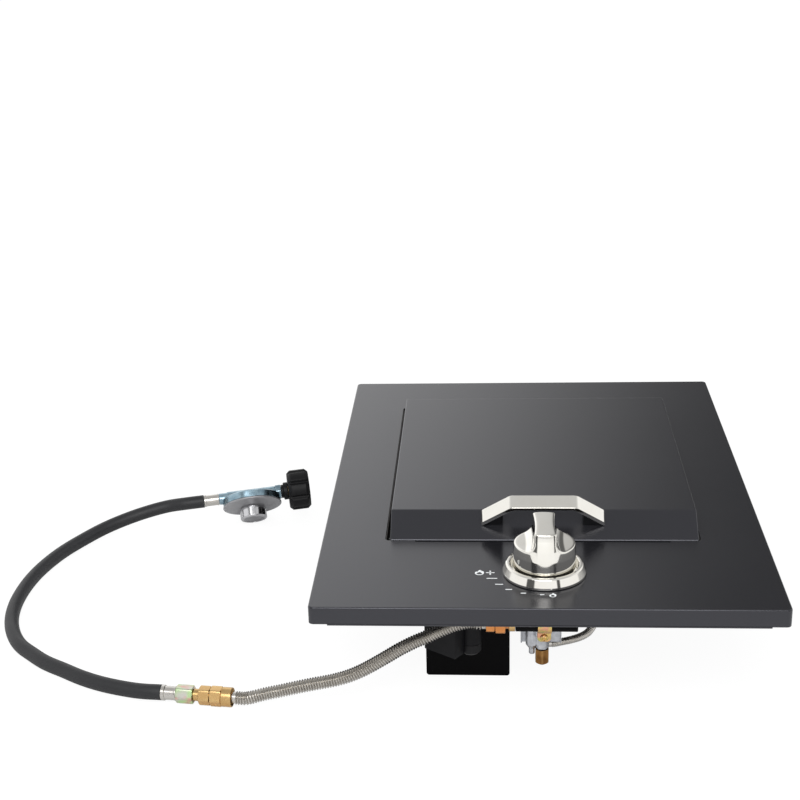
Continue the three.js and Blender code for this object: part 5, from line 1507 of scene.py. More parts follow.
@dataclass(frozen=True)
class Knob:
    """The chromed knob: a slightly conical drum with two deep scoops that leave a grip bar."""

    lift: float = 0.007
    height: float = 0.0528
    profile: tuple[Point, ...] = (
        (0.007, 0.0304), (0.024, 0.0302), (0.035, 0.0296), (0.045, 0.0288), (0.0518, 0.0276),
        (0.0528, 0.0274),
    )
    scoop_waist: float = 0.0096
    scoop_flare: float = 0.0022
    scoop_floor: float = 0.033
    scoop_corner: float = 0.009
    scoop_half_length: float = 0.031
    rim: float = 0.0011
    travel: float = 0.003
    azimuths: int = 240
    stations: int = 150

    def solid(self, x: float, y: float, z: float) -> float:
        """How far a point is outside the knob, with soft rims.

        Args:
            x: Across.
            y: To the back.
            z: The height over the panel.

        Returns:
            A distance that is negative inside.
        """
        reach = math.hypot(x, y)
        wall = self.profile[-1][1]
        for (z0, r0), (z1, r1) in zip(self.profile, self.profile[1:]):
            if z <= z1:
                wall = r0 + (r1 - r0) * (z - z0) / (z1 - z0)
                break
        along = y / self.scoop_half_length
        corner = self.scoop_corner
        beside = max(0.0, corner - (abs(x) - self.scoop_waist - self.scoop_flare * along * along))
        above = max(0.0, corner - (z - self.scoop_floor))
        gap = corner - math.hypot(beside, above)
        faces = (reach - wall, z - self.height, self.lift - z, gap)
        top = max(faces)
        blend = self.rim * 0.55
        return top + blend * math.log(sum(math.exp((f - top) / blend) for f in faces))

    def section(self, azimuth: float) -> list[Triple]:
        """Follow the knob's skin from the middle of its top down to its lower rim, in one direction.

        Args:
            azimuth: The direction from the axis.

        Returns:
            Points at equal steps.
        """
        cos, sin = math.cos(azimuth), math.sin(azimuth)
        step, eps = 0.0002, 0.00002
        probe = lambda r, z: self.solid(r * cos, r * sin, z)
        r, z = 0.0, self.height - self.rim * 0.1
        trace = []
        for _ in range(900):
            for _ in range(3):
                f = probe(r, z)
                fr = (probe(r + eps, z) - probe(r - eps, z)) / (2 * eps)
                fz = (probe(r, z + eps) - probe(r, z - eps)) / (2 * eps)
                size = fr * fr + fz * fz
                r, z = r - f * fr / size, z - f * fz / size
            trace.append((r, z))
            if r < self.profile[0][1] * 0.93 and z < self.lift + 0.001 and len(trace) > 40:
                break
            size = math.hypot(fr, fz)
            r, z = r + step * fz / size, z - step * fr / size
        lengths = [0.0]
        for a, b in zip(trace, trace[1:]):
            lengths.append(lengths[-1] + math.dist(a, b))
        points, k = [], 0
        for i in range(self.stations):
            wanted = lengths[-1] * i / (self.stations - 1)
            while k < len(lengths) - 2 and lengths[k + 1] < wanted:
                k += 1
            share = (wanted - lengths[k]) / ((lengths[k + 1] - lengths[k]) or 1.0)
            r = trace[k][0] + (trace[k + 1][0] - trace[k][0]) * share
            z = trace[k][1] + (trace[k + 1][1] - trace[k][1]) * share
            points.append((r * cos, r * sin, z))
        return points

    def skin(self) -> bmesh.types.BMesh:
        """The knob's closed skin, made of one section for each direction."""
        quarter = self.azimuths // 4
        sections = [self.section(math.pi / 2 * i / quarter) for i in range(quarter + 1)]
        signs = []
        for i in range(self.azimuths):
            turn, part = divmod(i, quarter)
            part = part if turn % 2 == 0 else quarter - part
            signs.append((part, 1 if turn in (0, 3) else -1, 1 if turn in (0, 1) else -1))
        mesh = bmesh.new()
        crown = mesh.verts.new((0.0, 0.0, sections[0][0][2]))
        rings = []
        for s in range(1, self.stations):
            rings.append([mesh.verts.new((sx * sections[p][s][0], sy * sections[p][s][1], sections[p][s][2]))
                          for p, sx, sy in signs])
        count = self.azimuths
        for j in range(count):
            mesh.faces.new((crown, rings[0][j], rings[0][(j + 1) % count]))
        for low, high in zip(rings, rings[1:]):
            for j in range(count):
                k = (j + 1) % count
                mesh.faces.new((low[j], high[j], high[k], low[k]))
        mesh.faces.new(list(reversed(rings[-1])))
        bmesh.ops.recalc_face_normals(mesh, faces=mesh.faces)
        return shifted(mesh, 0.0, KNOB_AXIS_Y, PANEL_TOP)

    def spring(self, shop: Workshop) -> None:
        """The spring under the stem's washer, a copy of its solid with a mesh of its own.

        Args:
            shop: The workshop.
        """
        coils = shop.copy_of("stem_spring")
        piece = shop.place("spring_coils", coils, "stem_spring")
        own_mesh(piece)

    def build(self, shop: Workshop) -> None:
        """Make and place the knob, and dress what turns with it.

        Args:
            shop: The workshop.
        """
        shop.place("knob_skin", self.skin(), "control_knob", smooth=70.0)
        shop.dress("knob_clip", "valve_stem", "stem_washer", "gas_plug")
        self.spring(shop)


@dataclass(frozen=True)
class KnobRing:
    """The chromed ring round the knob."""

    profile: tuple[Point, ...] = (
        (0.0070, 0.0003), (0.0406, 0.0003), (0.0406, 0.0030), (0.0378, 0.0102), (0.0363, 0.0112),
        (0.0342, 0.0112), (0.0332, 0.0102), (0.0322, 0.0018), (0.0070, 0.0018),
    )
    softness: float = 0.0009

    def build(self, shop: Workshop) -> None:
        """Make and place the ring, and dress its screws.

        Args:
            shop: The workshop.
        """
        ring = lathe(filleted(self.profile, self.softness, closed=True, steps=5), 144)
        shop.place("ring_polished", shifted(ring, 0.0, KNOB_AXIS_Y, PANEL_TOP), "knob_bezel", smooth=50.0)
        shop.dress("bezel_screw_left", "bezel_screw_right")


class BurnerBay:
    """What lies under the lid: the bowl, the grate, the burner with its jet, the shutter and the spark."""

    def build(self, shop: Workshop) -> None:
        """Dress the bay.

        Args:
            shop: The workshop.
        """
        bowl = shop.softened("burner_bowl", 0.0006)
        # The bowl's darkened colour is painted shade, not the colour of the steel.
        bowl.data.materials[0] = shop.palette.dull_steel_painted_shade
        shop.softened("cooking_grate", 0.0010)
        shop.softened("burner_cap", 0.0008)
        shop.softened("burner_body", 0.0008)
        shop.softened("burner_bracket", 0.0004)
        shop.softened("spark_electrode", 0.0003)
        shop.dress("burner_screw", "air_shutter", "gas_orifice")


class IgniterSet:
    """The battery igniter, its cap and lead, and the shield behind it."""

    def build(self, shop: Workshop) -> None:
        """Dress the igniter, and make its lead.

        Args:
            shop: The workshop.
        """
        shop.softened("igniter_module", 0.0028)
        shop.softened("battery_cap", 0.0008)
        shop.softened("heat_shield", 0.0003)
        shop.dress("battery")
        lead = [
            (-0.0859, 0.0267, 0.110), (-0.082, 0.032, 0.110), (-0.076, 0.041, 0.110), (-0.070, 0.055, 0.106),
            (-0.065, 0.075, 0.098), (-0.061, 0.097, 0.091), (-0.057, 0.120, 0.082), (-0.051, 0.155, 0.069),
            (-0.046, 0.185, 0.057), (-0.042, 0.208, 0.051), (-0.041, 0.219, 0.053), (-0.041, 0.221, 0.0637),
        ]
        path = smooth_path([(x, KNOB_AXIS_Y + y, z) for x, y, z in lead], 0.002)
        shop.place("spark_lead", swept(path, lambda _: 0.0015, 16), "spark_wire", smooth=60.0)


@dataclass(frozen=True)
class ValveSet:
    """The cast valve with its hanger, cover, plug, rail, clamp and inlet fittings."""

    rail_y: float = -0.258
    rail_z: float = 0.0962
    rail_left: float = -0.0283
    rail_right: float = 0.032
    rail_radius: float = 0.008
    neck_x: float = -0.0015
    plug_flats: float = 0.013
    plug_low: float = 0.038
    plug_high: float = 0.056
    plug_top: float = 0.0633

    def build(self, shop: Workshop) -> None:
        """Make and place the set.

        Args:
            shop: The workshop.
        """
        shop.recast("valve_body", 0.0006, 9)
        shop.softened("valve_bracket", 0.0003)
        shop.softened("valve_cover", 0.0005)
        shop.softened("valve_clamp", 0.0003)
        self.rail(shop)
        self.plug(shop)
        self.clamp_screw(shop)
        self.inlet(shop)

    def on_rail(self, shape: bmesh.types.BMesh) -> bmesh.types.BMesh:
        """Turn a bar along X and put it on the rail's axis."""
        return shifted(along_x(shape), 0.0, self.rail_y, self.rail_z)

    def rail(self, shop: Workshop) -> None:
        """The painted gas rail.

        Args:
            shop: The workshop.
        """
        pipe = turned_bar(drum(self.rail_left, self.rail_right, self.rail_radius, 0.0006))
        shop.place("rail_pipe", self.on_rail(pipe), "gas_rail")

    def plug(self, shop: Workshop) -> None:
        """The brass plug under the valve: a hexagon whose lower end comes to a blunt point.

        Args:
            shop: The workshop.
        """
        apothem = self.plug_flats / 2
        rings = [
            Ring(self.plug_low, 0.0024), Ring(self.plug_low + 0.0014, 0.0046),
            Ring(self.plug_low + 0.0028, 0.0066), Ring(self.plug_low + 0.0038, 0.0074, apothem),
            Ring(self.plug_high - 0.0010, 0.0074, apothem), Ring(self.plug_high, 0.0069, apothem),
            Ring(self.plug_high, 0.0048), Ring(self.plug_top, 0.0048),
        ]
        bar = moved(turned_bar(rings), Matrix.Rotation(math.radians(90), 4, "Z"))
        shop.place("plug_hexagon", shifted(bar, self.neck_x, KNOB_AXIS_Y, 0.0), "bottom_plug", smooth=24.0,
                   material=shop.palette.dark_brass)

    def clamp_screw(self, shop: Workshop) -> None:
        """The clamp's screw, with a domed head and a crossed recess.

        Args:
            shop: The workshop.
        """
        head = lathe([(0.0, 0.0020), (0.0014, 0.00195), (0.0027, 0.0017), (0.0036, 0.0011), (0.0040, 0.0003),
                      (0.0040, 0.0), (0.0018, 0.0), (0.0018, -0.0055), (0.0, -0.0055)], 48)
        arms = [box_mesh((-0.0025, -0.00055, 0.0006), (0.0025, 0.00055, 0.004)),
                box_mesh((-0.00055, -0.0025, 0.0006), (0.00055, 0.0025, 0.004))]
        screw = bevelled_data(combined(head, arms, "DIFFERENCE"), 0.00012, 60.0)
        facing_front = Matrix.Rotation(math.radians(90), 4, "X")
        screw.transform(Matrix.Translation((0.0, -0.2500, 0.0756)) @ facing_front)
        shop.place("clamp_screw_head", screw, "clamp_screw")

    def inlet(self, shop: Workshop) -> None:
        """The two brass hexagons between the rail and the ribbed connector.

        Args:
            shop: The workshop.
        """
        collar = drum(-0.0286, -0.0349, 0.0080, 0.0008)
        fitting = [Ring(-0.0349, 0.0055), Ring(-0.0381, 0.0055), *hexagon(-0.0381, -0.0480, 0.020),
                   *drum(-0.0480, -0.0520, 0.0054)]
        nut = hexagon(-0.0483, -0.0570, 0.017)
        copper = shop.palette.copper_brass
        shop.place("inlet_collar", self.on_rail(turned_bar(collar, 0.004)), "inlet_fitting", replaces=False)
        shop.place("inlet_hexagon", self.on_rail(turned_bar(fitting, 0.004)), "inlet_fitting",
                   material=copper)
        shop.place("inlet_nut_hexagon", self.on_rail(turned_bar(nut, 0.0057)), "inlet_nut", material=copper)


def ribbed(crest: float, root: float, pitch: float, cuff: float, length: float) -> Callable[[float], float]:
    """The outer radius of a ribbed tube along its length.

    Args:
        crest: The radius on a rib.
        root: The radius between ribs.
        pitch: The distance between ribs.
        cuff: The plain length at each end.
        length: The tube's length.

    Returns:
        A function from the distance along the tube to the radius.
    """
    def radius(at: float) -> float:
        if at < cuff or at > length - cuff:
            return (crest + root) / 2
        wave = 0.5 - 0.5 * math.cos(2 * math.pi * (at - cuff) / pitch)
        return root + (crest - root) * wave ** 0.7
    return radius


FLEX_ROUTE: tuple[Triple, ...] = (
    (-0.0685, -0.023, 0.097), (-0.074, -0.023, 0.0971), (-0.080, -0.023, 0.0959), (-0.0862, -0.023, 0.0941),
    (-0.093, -0.023, 0.0915), (-0.0999, -0.023, 0.0883), (-0.1069, -0.023, 0.0848), (-0.1138, -0.023, 0.0811),
    (-0.1205, -0.023, 0.0779), (-0.1277, -0.023, 0.0744), (-0.1357, -0.023, 0.070), (-0.1438, -0.023, 0.0651),
    (-0.1518, -0.023, 0.0597), (-0.1599, -0.023, 0.0543), (-0.1681, -0.023, 0.049), (-0.1762, -0.023, 0.044),
    (-0.1844, -0.023, 0.0395), (-0.1925, -0.023, 0.0357), (-0.2007, -0.023, 0.0327),
    (-0.2088, -0.023, 0.0303), (-0.217, -0.0231, 0.0284), (-0.2251, -0.0232, 0.0267),
    (-0.2332, -0.0233, 0.025),
    (-0.2435, -0.0236, 0.0227), (-0.2537, -0.024, 0.0204), (-0.264, -0.0246, 0.0181),
    (-0.2743, -0.0252, 0.0161), (-0.2845, -0.026, 0.0138), (-0.292, -0.0266, 0.0118),
)
OUTLET_ROUTE: tuple[Triple, ...] = (
    (0.0102, 0.0163, 0.0521), (0.0134, 0.0163, 0.0526), (0.017, 0.0163, 0.0536), (0.021, 0.0162, 0.0546),
    (0.0259, 0.0159, 0.056), (0.0309, 0.0153, 0.0579), (0.0357, 0.0144, 0.0602), (0.0401, 0.0135, 0.063),
    (0.0438, 0.0128, 0.0662), (0.0466, 0.0125, 0.070), (0.049, 0.0122, 0.0745), (0.0518, 0.0126, 0.082),
    (0.0538, 0.0146, 0.090), (0.0536, 0.018, 0.0975), (0.0504, 0.0218, 0.1036), (0.044, 0.0239, 0.1068),
    (0.036, 0.0248, 0.1058), (0.028, 0.0254, 0.101), (0.020, 0.026, 0.094), (0.012, 0.0286, 0.087),
    (0.0054, 0.0334, 0.0812), (0.0014, 0.040, 0.0775),
)
HOSE_ROUTE: tuple[Triple, ...] = (
    (-0.404, -0.0146, 0.0096), (-0.419, -0.0104, 0.0086), (-0.450, 0.0, 0.0082), (-0.476, 0.0124, 0.0082),
    (-0.502, 0.029, 0.0082), (-0.525, 0.044, 0.0082), (-0.545, 0.062, 0.0082), (-0.560, 0.077, 0.0082),
    (-0.571, 0.093, 0.0082), (-0.582, 0.116, 0.0082), (-0.590, 0.142, 0.0082), (-0.5945, 0.169, 0.0082),
    (-0.596, 0.197, 0.0082), (-0.5945, 0.230, 0.0082), (-0.589, 0.264, 0.0082), (-0.576, 0.306, 0.0084),
    (-0.557, 0.343, 0.0092), (-0.536, 0.370, 0.012), (-0.512, 0.3875, 0.0165), (-0.487, 0.3985, 0.0215),
    (-0.461, 0.4048, 0.0264),
)


def from_stem(route: Sequence[Triple]) -> list[Triple]:
    """Turn a route's distances behind the knob's axis into Y."""
    return [(x, KNOB_AXIS_Y + behind, z) for x, behind, z in route]


@dataclass(frozen=True)
class GasLines:
    """The outlet tube, the ribbed connector, the rubber hose and the fittings between them."""

    line_start: Triple = (-0.3125, -0.260, 0.0102)
    line_turn: float = 6.2
    flex_crest: float = 0.0069
    flex_root: float = 0.0049
    flex_pitch: float = 0.0027
    outlet_crest: float = 0.004
    outlet_root: float = 0.0033
    outlet_pitch: float = 0.0018
    hose_radius: float = 0.008

    def outlet(self, shop: Workshop) -> None:
        """The small ribbed tube from the valve to the jet.

        Args:
            shop: The workshop.
        """
        points = [(0.0058, -0.2187, 0.0521), *from_stem(OUTLET_ROUTE), (0.0, -0.1886, 0.076),
                  (0.0, -0.1806, 0.076)]
        path = smooth_path(points, self.outlet_pitch / 6)
        radius = ribbed(self.outlet_crest, self.outlet_root, self.outlet_pitch, 0.003, path_length(path))
        shop.place("outlet_ribs", swept(path, radius, 20), "outlet_tube", smooth=60.0)

    def connector(self, shop: Workshop) -> None:
        """The ribbed connector.

        Args:
            shop: The workshop.
        """
        points = [(-0.0573, -0.258, 0.0962), (-0.0638, -0.258, 0.0962), *from_stem(FLEX_ROUTE),
                  (-0.29928, -0.26144, 0.0102), (-0.3122, -0.26003, 0.0102)]
        path = smooth_path(points, self.flex_pitch / 8)
        length = path_length(path)
        radius = ribbed(self.flex_crest, self.flex_root, self.flex_pitch, 0.004, length)
        tube = shop.place("connector_ribs", swept(path, radius, 28), "flex_connector", smooth=60.0)

    def hose(self, shop: Workshop) -> None:
        """The rubber hose to the regulator.

        Args:
            shop: The workshop.
        """
        points = [(-0.38696, -0.25191, 0.0102), (-0.39094, -0.25148, 0.0102), *from_stem(HOSE_ROUTE),
                  (-0.43627, KNOB_AXIS_Y + 0.40316, 0.03108), (-0.41431, KNOB_AXIS_Y + 0.40743, 0.03225)]
        path = smooth_path(points, 0.003)
        tube = shop.place("hose_rubber", swept(path, lambda _: self.hose_radius, 36), "gas_hose", smooth=60.0)

    def along_line(self, shape: bmesh.types.BMesh) -> bmesh.types.BMesh:
        """Lay a bar on the line of fittings, so that its Z runs away from the connector."""
        turn = math.radians(self.line_turn)
        forward = Vector((-math.cos(turn), math.sin(turn), 0.0))
        up = Vector((0.0, 0.0, 1.0))
        side = up.cross(forward)
        frame = Matrix((side, up, forward)).transposed().to_4x4()
        return moved(shape, Matrix.Translation(self.line_start) @ frame)

    def fittings(self, shop: Workshop) -> None:
        """The flare nut, the union, the swivel nut and the hose's ferrule.

        Args:
            shop: The workshop.
        """
        flare = [
            Ring(0.0032, 0.0073), Ring(0.0004, 0.0089), *drum(0.0, 0.0104, 0.0100, 0.0006),
            *hexagon(0.0106, 0.0225, 0.0185),
        ]
        union = [*hexagon(0.0228, 0.0343, 0.0176), Ring(0.0343, 0.0062), Ring(0.0400, 0.0062),
                 Ring(0.0403, 0.0050), Ring(0.0480, 0.0050)]
        swivel = hexagon(0.0406, 0.0583, 0.017)
        ferrule = [
            *drum(0.0586, 0.0602, 0.0076, 0.0004), Ring(0.0606, 0.0071), Ring(0.0704, 0.0071),
            Ring(0.0709, 0.0080), Ring(0.0742, 0.0080), Ring(0.0746, 0.0076),
        ]
        shop.place("flare_hexagon", self.along_line(turned_bar(flare, 0.003)), "flare_nut")
        shop.place("union_hexagon", self.along_line(turned_bar(union, 0.003)), "hex_union")
        shop.place("swivel_hexagon", self.along_line(turned_bar(swivel, 0.0056)), "swivel_nut")
        shop.place("ferrule_crimped", self.along_line(turned_bar(ferrule, 0.0034)), "hose_ferrule")


@dataclass(frozen=True)
class Regulator:
    """The two-piece regulator, with its cap, its collar and its hand nut."""

    centre: Triple = (-0.3553, 0.1839, 0.0354)
    yaw: float = 11.0
    pitch: float = 3.0
    tilt: float = 49.5
    joint: float = 0.012
    rim: float = 0.0366
    nut_left: float = 0.0475
    nut_right: float = 0.0745
    lobes: int = 8
    nut_reach: float = 0.0256
    groove_depth: float = 0.0034

    def frame(self) -> Matrix:
        """The regulator's own frame, X from the hose to the nut."""
        yaw = Matrix.Rotation(math.radians(self.yaw), 4, "Z")
        pitch = Matrix.Rotation(math.radians(-self.pitch), 4, "Y")
        return Matrix.Translation(self.centre) @ (yaw @ pitch)

    def on_axis(self, shape: bmesh.types.BMesh) -> bmesh.types.BMesh:
        """Put a piece turned about Z on the diaphragm's leaning axis."""
        return moved(shape, self.frame() @ Matrix.Rotation(math.radians(self.tilt + 90), 4, "X"))

    def on_pipe(self, shape: bmesh.types.BMesh) -> bmesh.types.BMesh:
        """Put a bar on the pipe's axis."""
        return moved(along_x(shape), self.frame())

    def casting(self, shop: Workshop) -> None:
        """The cast body: a dish and a pipe under one soft skin, a crisp rim and a crisp hexagon.

        Args:
            shop: The workshop.
        """
        dish = self.on_axis(lathe([(0.0, 0.0008), (0.0270, 0.0008), (0.0340, 0.0022), (0.0360, 0.0036),
                                   (0.0360, 0.0118), (0.0, 0.0118)], 96))
        pipe = self.on_pipe(turned_bar([*drum(-0.0410, -0.0300, 0.0072), *drum(-0.0300, 0.0312, 0.0080)]))
        cutter = self.on_axis(lathe([(0.0, 0.0118), (0.040, 0.0118), (0.040, 0.028), (0.0, 0.028)], 96))
        body = combined(combined(dish, [pipe], "UNION"), [cutter], "DIFFERENCE")
        shop.place("casting_skin", cast_skin(body, 0.0007, 5), "regulator_body", smooth=60.0)
        rim = lathe(filleted([(0.0300, 0.0030), (0.0350, 0.0030), (self.rim, 0.0042), (self.rim, self.joint),
                              (0.0300, self.joint)], 0.0004, closed=True), 128)
        shop.place("casting_rim", self.on_axis(rim), "regulator_body", replaces=False)
        hexagon_bar = turned_bar(hexagon(0.0312, 0.0382, 0.017), 0.0035)
        shop.place("casting_hexagon", self.on_pipe(hexagon_bar), "regulator_body", replaces=False)

    def bonnet(self, shop: Workshop) -> None:
        """The painted bonnet and its bright cap.

        Args:
            shop: The workshop.
        """
        seat = self.joint + GAP
        profile = [
            (0.0125, seat), (0.0372, seat), (0.0372, seat + 0.0020), (0.0352, seat + 0.0025),
            (0.0300, seat + 0.0029), (0.0240, seat + 0.0035), (0.0175, seat + 0.0045),
            (0.0155, seat + 0.0051), (0.0149, seat + 0.0080), (0.0125, seat + 0.0080),
        ]
        shop.place("bonnet_pressed", self.on_axis(lathe(filleted(profile, 0.0007, closed=True), 128)),
                   "regulator_bonnet", smooth=50.0)
        side = [
            (0.0158, 0.0183), (0.0168, 0.0183), (0.0168, 0.0300), (0.0160, 0.0314), (0.0148, 0.0318),
            (0.0130, 0.0318), (0.0130, 0.0214), (0.0158, 0.0214),
        ]
        shop.place("cap_side", self.on_axis(lathe(filleted(side, 0.0004, closed=True), 128)), "bonnet_cap",
                   material=shop.palette.bright_cap)
        end = lathe([(0.0, 0.0312), (0.0120, 0.0312), (0.0132, 0.0315), (0.0134, 0.0300), (0.0, 0.0300)], 96)
        shop.place("cap_end", self.on_axis(end), "bonnet_cap", replaces=False)

    def nut_radius(self, angle: float, at: float) -> float:
        """The hand nut's radius: broad lobes with narrow grooves, run out at both ends.

        Args:
            angle: The direction round the nut.
            at: The place along it.

        Returns:
            The radius.
        """
        pitch = 2 * math.pi / self.lobes
        off = abs((angle / pitch) % 1.0 - 0.5) * 2
        groove = max(0.0, 1 - (1 - off) / 0.42)
        groove = groove * groove * (3 - 2 * groove)
        end = min(at - self.nut_left, self.nut_right - at)
        chamfer = max(0.0, 0.0040 - end)
        radius = self.nut_reach - self.groove_depth * groove
        return min(radius, self.nut_reach - 0.0003 - chamfer * 0.9)

    def hand_nut(self, shop: Workshop) -> None:
        """The moulded hand nut with its socket, its collar and the nipple inside.

        Args:
            shop: The workshop.
        """
        sides = 240
        angles = [2 * math.pi * i / sides for i in range(sides)]
        stations = [0.0, 0.0004, 0.0010, 0.0018, 0.0026, 0.0034, 0.0040, 0.0050, 0.0135, 0.0220, 0.0230,
                    0.0236, 0.0244, 0.0252, 0.0260, 0.0266, 0.0270]
        outer = [
            [Vector((self.nut_left + s, r * math.cos(a), r * math.sin(a)))
             for a in angles for r in (self.nut_radius(a, self.nut_left + s),)]
            for s in stations
        ]
        inner = [
            [Vector((x, r * math.cos(a), r * math.sin(a))) for a in angles]
            for x, r in ((self.nut_right, 0.0166), (self.nut_right - 0.0006, 0.016),
                         (self.nut_right - 0.017, 0.016), (self.nut_right - 0.017, 0.007),
                         (self.nut_left, 0.007))
        ]
        nut = surface_of_rings(outer + inner, looped=True)
        shop.place("hand_nut_lobes", moved(nut, self.frame()), "coupling_nut", smooth=42.0)
        steps = [*drum(0.0385, 0.0413, 0.0085, 0.0004), *drum(0.0415, 0.0471, 0.0110, 0.0008)]
        shop.place("collar_stepped", self.on_pipe(turned_bar(steps, 0.0059)), "coupling_collar")
        shop.softened("coupling_nipple", 0.0003)

    def build(self, shop: Workshop) -> None:
        """Make and place the regulator.

        Args:
            shop: The workshop.
        """
        self.casting(shop)
        self.bonnet(shop)
        self.hand_nut(shop)
        ferrule = turned_bar([
            *drum(-0.0413, -0.0430, 0.0074, 0.0004), Ring(-0.0434, 0.0070), Ring(-0.0570, 0.0070),
            Ring(-0.0575, 0.0074), Ring(-0.0595, 0.0074), Ring(-0.0599, 0.0070),
        ], 0.0034)
        shop.place("regulator_crimp", self.on_pipe(ferrule), "regulator_ferrule")
        shop.dress("regulator_diaphragm")


# Studio


@dataclass(frozen=True)
class Studio:
    """The camera, the pale floor, the sky and the lamps."""

    lens: float = 69.43956
    sensor: float = 36.0
    shift: Point = (0.06443, 0.03549)
    eye: Triple = (-0.052652, -1.594780, 0.829992)
    right: Triple = (0.9958396, 0.0829608, -0.0376963)
    down: Triple = (-0.0045207, -0.3681954, -0.9297374)
    ahead: Triple = (-0.0910114, 0.9260398, -0.3662885)
    floor_half: float = 18.0
    paper_end: float = 0.42
    brightest: float = 1.2
    lift: float = 1.12
    zenith: float = 0.66
    behind: tuple[Point, ...] = (
        (-2.0, 1.0), (-0.6, 1.1), (-0.2, 1.2), (-0.12, 1.2), (-0.06, 1.02), (-0.02, 0.86), (0.02, 0.7),
        (0.06, 0.5), (0.1, 0.32), (0.14, 0.19), (0.18, 0.12), (0.4, 0.12), (0.8, 0.9), (2.0, 1.0),
    )
    before: tuple[Point, ...] = (
        (-2.0, 1.0), (-1.24, 1.0), (-1.16, 0.1), (-0.57, 0.1), (-0.5, 1.0), (0.62, 1.0), (0.67, 0.1),
        (0.85, 0.1), (0.92, 1.0), (2.0, 1.0),
    )

    def camera(self) -> None:
        """Put the camera where the photograph was taken from."""
        data = bpy.data.cameras.new("studio_camera")
        data.sensor_width = self.sensor
        data.lens = self.lens
        data.shift_x, data.shift_y = self.shift
        data.clip_end = 50.0
        eye = bpy.data.objects.new("studio_camera", data)
        turn = Matrix((self.right, -Vector(self.down), -Vector(self.ahead))).transposed()
        eye.matrix_world = Matrix.Translation(self.eye) @ turn.to_4x4()
        bpy.context.scene.collection.objects.link(eye)
        bpy.context.scene.camera = eye

    def paper(self, nodes: bpy.types.Nodes, links: bpy.types.NodeLinks, shader: bpy.types.Node) -> None:
        """Colour the floor: white, and in front, to reflections alone, with the flags that the sky has too.

        Args:
            nodes: The floor's nodes.
            links: Their links.
            shader: The floor's shader.
        """
        place = nodes.new("ShaderNodeTexCoord")
        axes = nodes.new("ShaderNodeSeparateXYZ")
        links.new(place.outputs["Object"], axes.inputs[0])
        ahead = nodes.new("ShaderNodeMath")
        ahead.operation = "SUBTRACT"
        ahead.inputs[0].default_value = KNOB_AXIS_Y
        links.new(axes.outputs["Y"], ahead.inputs[1])
        guard = nodes.new("ShaderNodeMath")
        guard.operation = "MAXIMUM"
        guard.inputs[1].default_value = 0.1
        links.new(ahead.outputs[0], guard.inputs[0])
        ratio = nodes.new("ShaderNodeMath")
        ratio.operation = "DIVIDE"
        links.new(axes.outputs["X"], ratio.inputs[0])
        links.new(guard.outputs[0], ratio.inputs[1])
        bearing = nodes.new("ShaderNodeMapRange")
        bearing.inputs["From Min"].default_value = -2.0
        bearing.inputs["From Max"].default_value = 2.0
        links.new(ratio.outputs[0], bearing.inputs["Value"])
        ramp = self.ramp(nodes, self.before)
        links.new(bearing.outputs[0], ramp.inputs[0])
        near = nodes.new("ShaderNodeMapRange")
        near.interpolation_type = "SMOOTHSTEP"
        near.inputs["From Min"].default_value = self.paper_end
        near.inputs["From Max"].default_value = self.paper_end + 0.06
        links.new(ahead.outputs[0], near.inputs["Value"])
        rays = nodes.new("ShaderNodeLightPath")
        glossy = nodes.new("ShaderNodeMath")
        glossy.operation = "MULTIPLY"
        links.new(near.outputs[0], glossy.inputs[0])
        links.new(rays.outputs["Is Glossy Ray"], glossy.inputs[1])
        mix = nodes.new("ShaderNodeMix")
        mix.data_type = "RGBA"
        links.new(glossy.outputs[0], mix.inputs[0])
        mix.inputs[6].default_value = (0.86, 0.86, 0.86, 1.0)
        links.new(ramp.outputs["Color"], mix.inputs[7])
        links.new(mix.outputs[2], shader.inputs["Base Color"])

    def floor(self) -> None:
        """A wide white floor that keeps a soft shadow."""
        side = self.floor_half
        data = as_mesh(prism([(-side, -side), (side, -side), (side, side), (-side, side)], -0.01, 0.0),
                       "studio_floor")
        floor = bpy.data.objects.new("studio_floor", data)
        bpy.context.scene.collection.objects.link(floor)
        material = bpy.data.materials.new("white_floor")
        material.use_nodes = True
        nodes, links = material.node_tree.nodes, material.node_tree.links
        shader = nodes["Principled BSDF"]
        shader.inputs["Roughness"].default_value = 1.0
        shader.inputs["Specular IOR Level"].default_value = 0.0
        self.paper(nodes, links, shader)
        glow = nodes.new("ShaderNodeEmission")
        glow.inputs["Color"].default_value = (1.0, 1.0, 1.0, 1.0)
        glow.inputs["Strength"].default_value = 1.08
        rays = nodes.new("ShaderNodeLightPath")
        share = nodes.new("ShaderNodeMath")
        share.operation = "MULTIPLY"
        share.inputs[1].default_value = 0.86
        mix = nodes.new("ShaderNodeMixShader")
        links.new(rays.outputs["Is Camera Ray"], share.inputs[0])
        links.new(share.outputs[0], mix.inputs[0])
        links.new(shader.outputs[0], mix.inputs[1])
        links.new(glow.outputs[0], mix.inputs[2])
        links.new(mix.outputs[0], nodes["Material Output"].inputs["Surface"])
        floor.data.materials.append(material)
        floor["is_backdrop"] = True

    def ramp(self, nodes: bpy.types.Nodes, stops: Sequence[Point]) -> bpy.types.Node:
        """Add a grey ramp over the bearing.

        Args:
            nodes: Where it goes.
            stops: Sideways over forward, from -2 to 2, and the brightness there.

        Returns:
            The ramp.
        """
        node = nodes.new("ShaderNodeValToRGB")
        elements = node.color_ramp.elements
        while len(elements) < len(stops):
            elements.new(0.5)
        for element, (bearing, bright) in zip(elements, stops):
            element.position = (bearing + 2.0) / 4.0
            grey = bright / self.brightest
            element.color = (grey, grey, grey, 1.0)
        return node

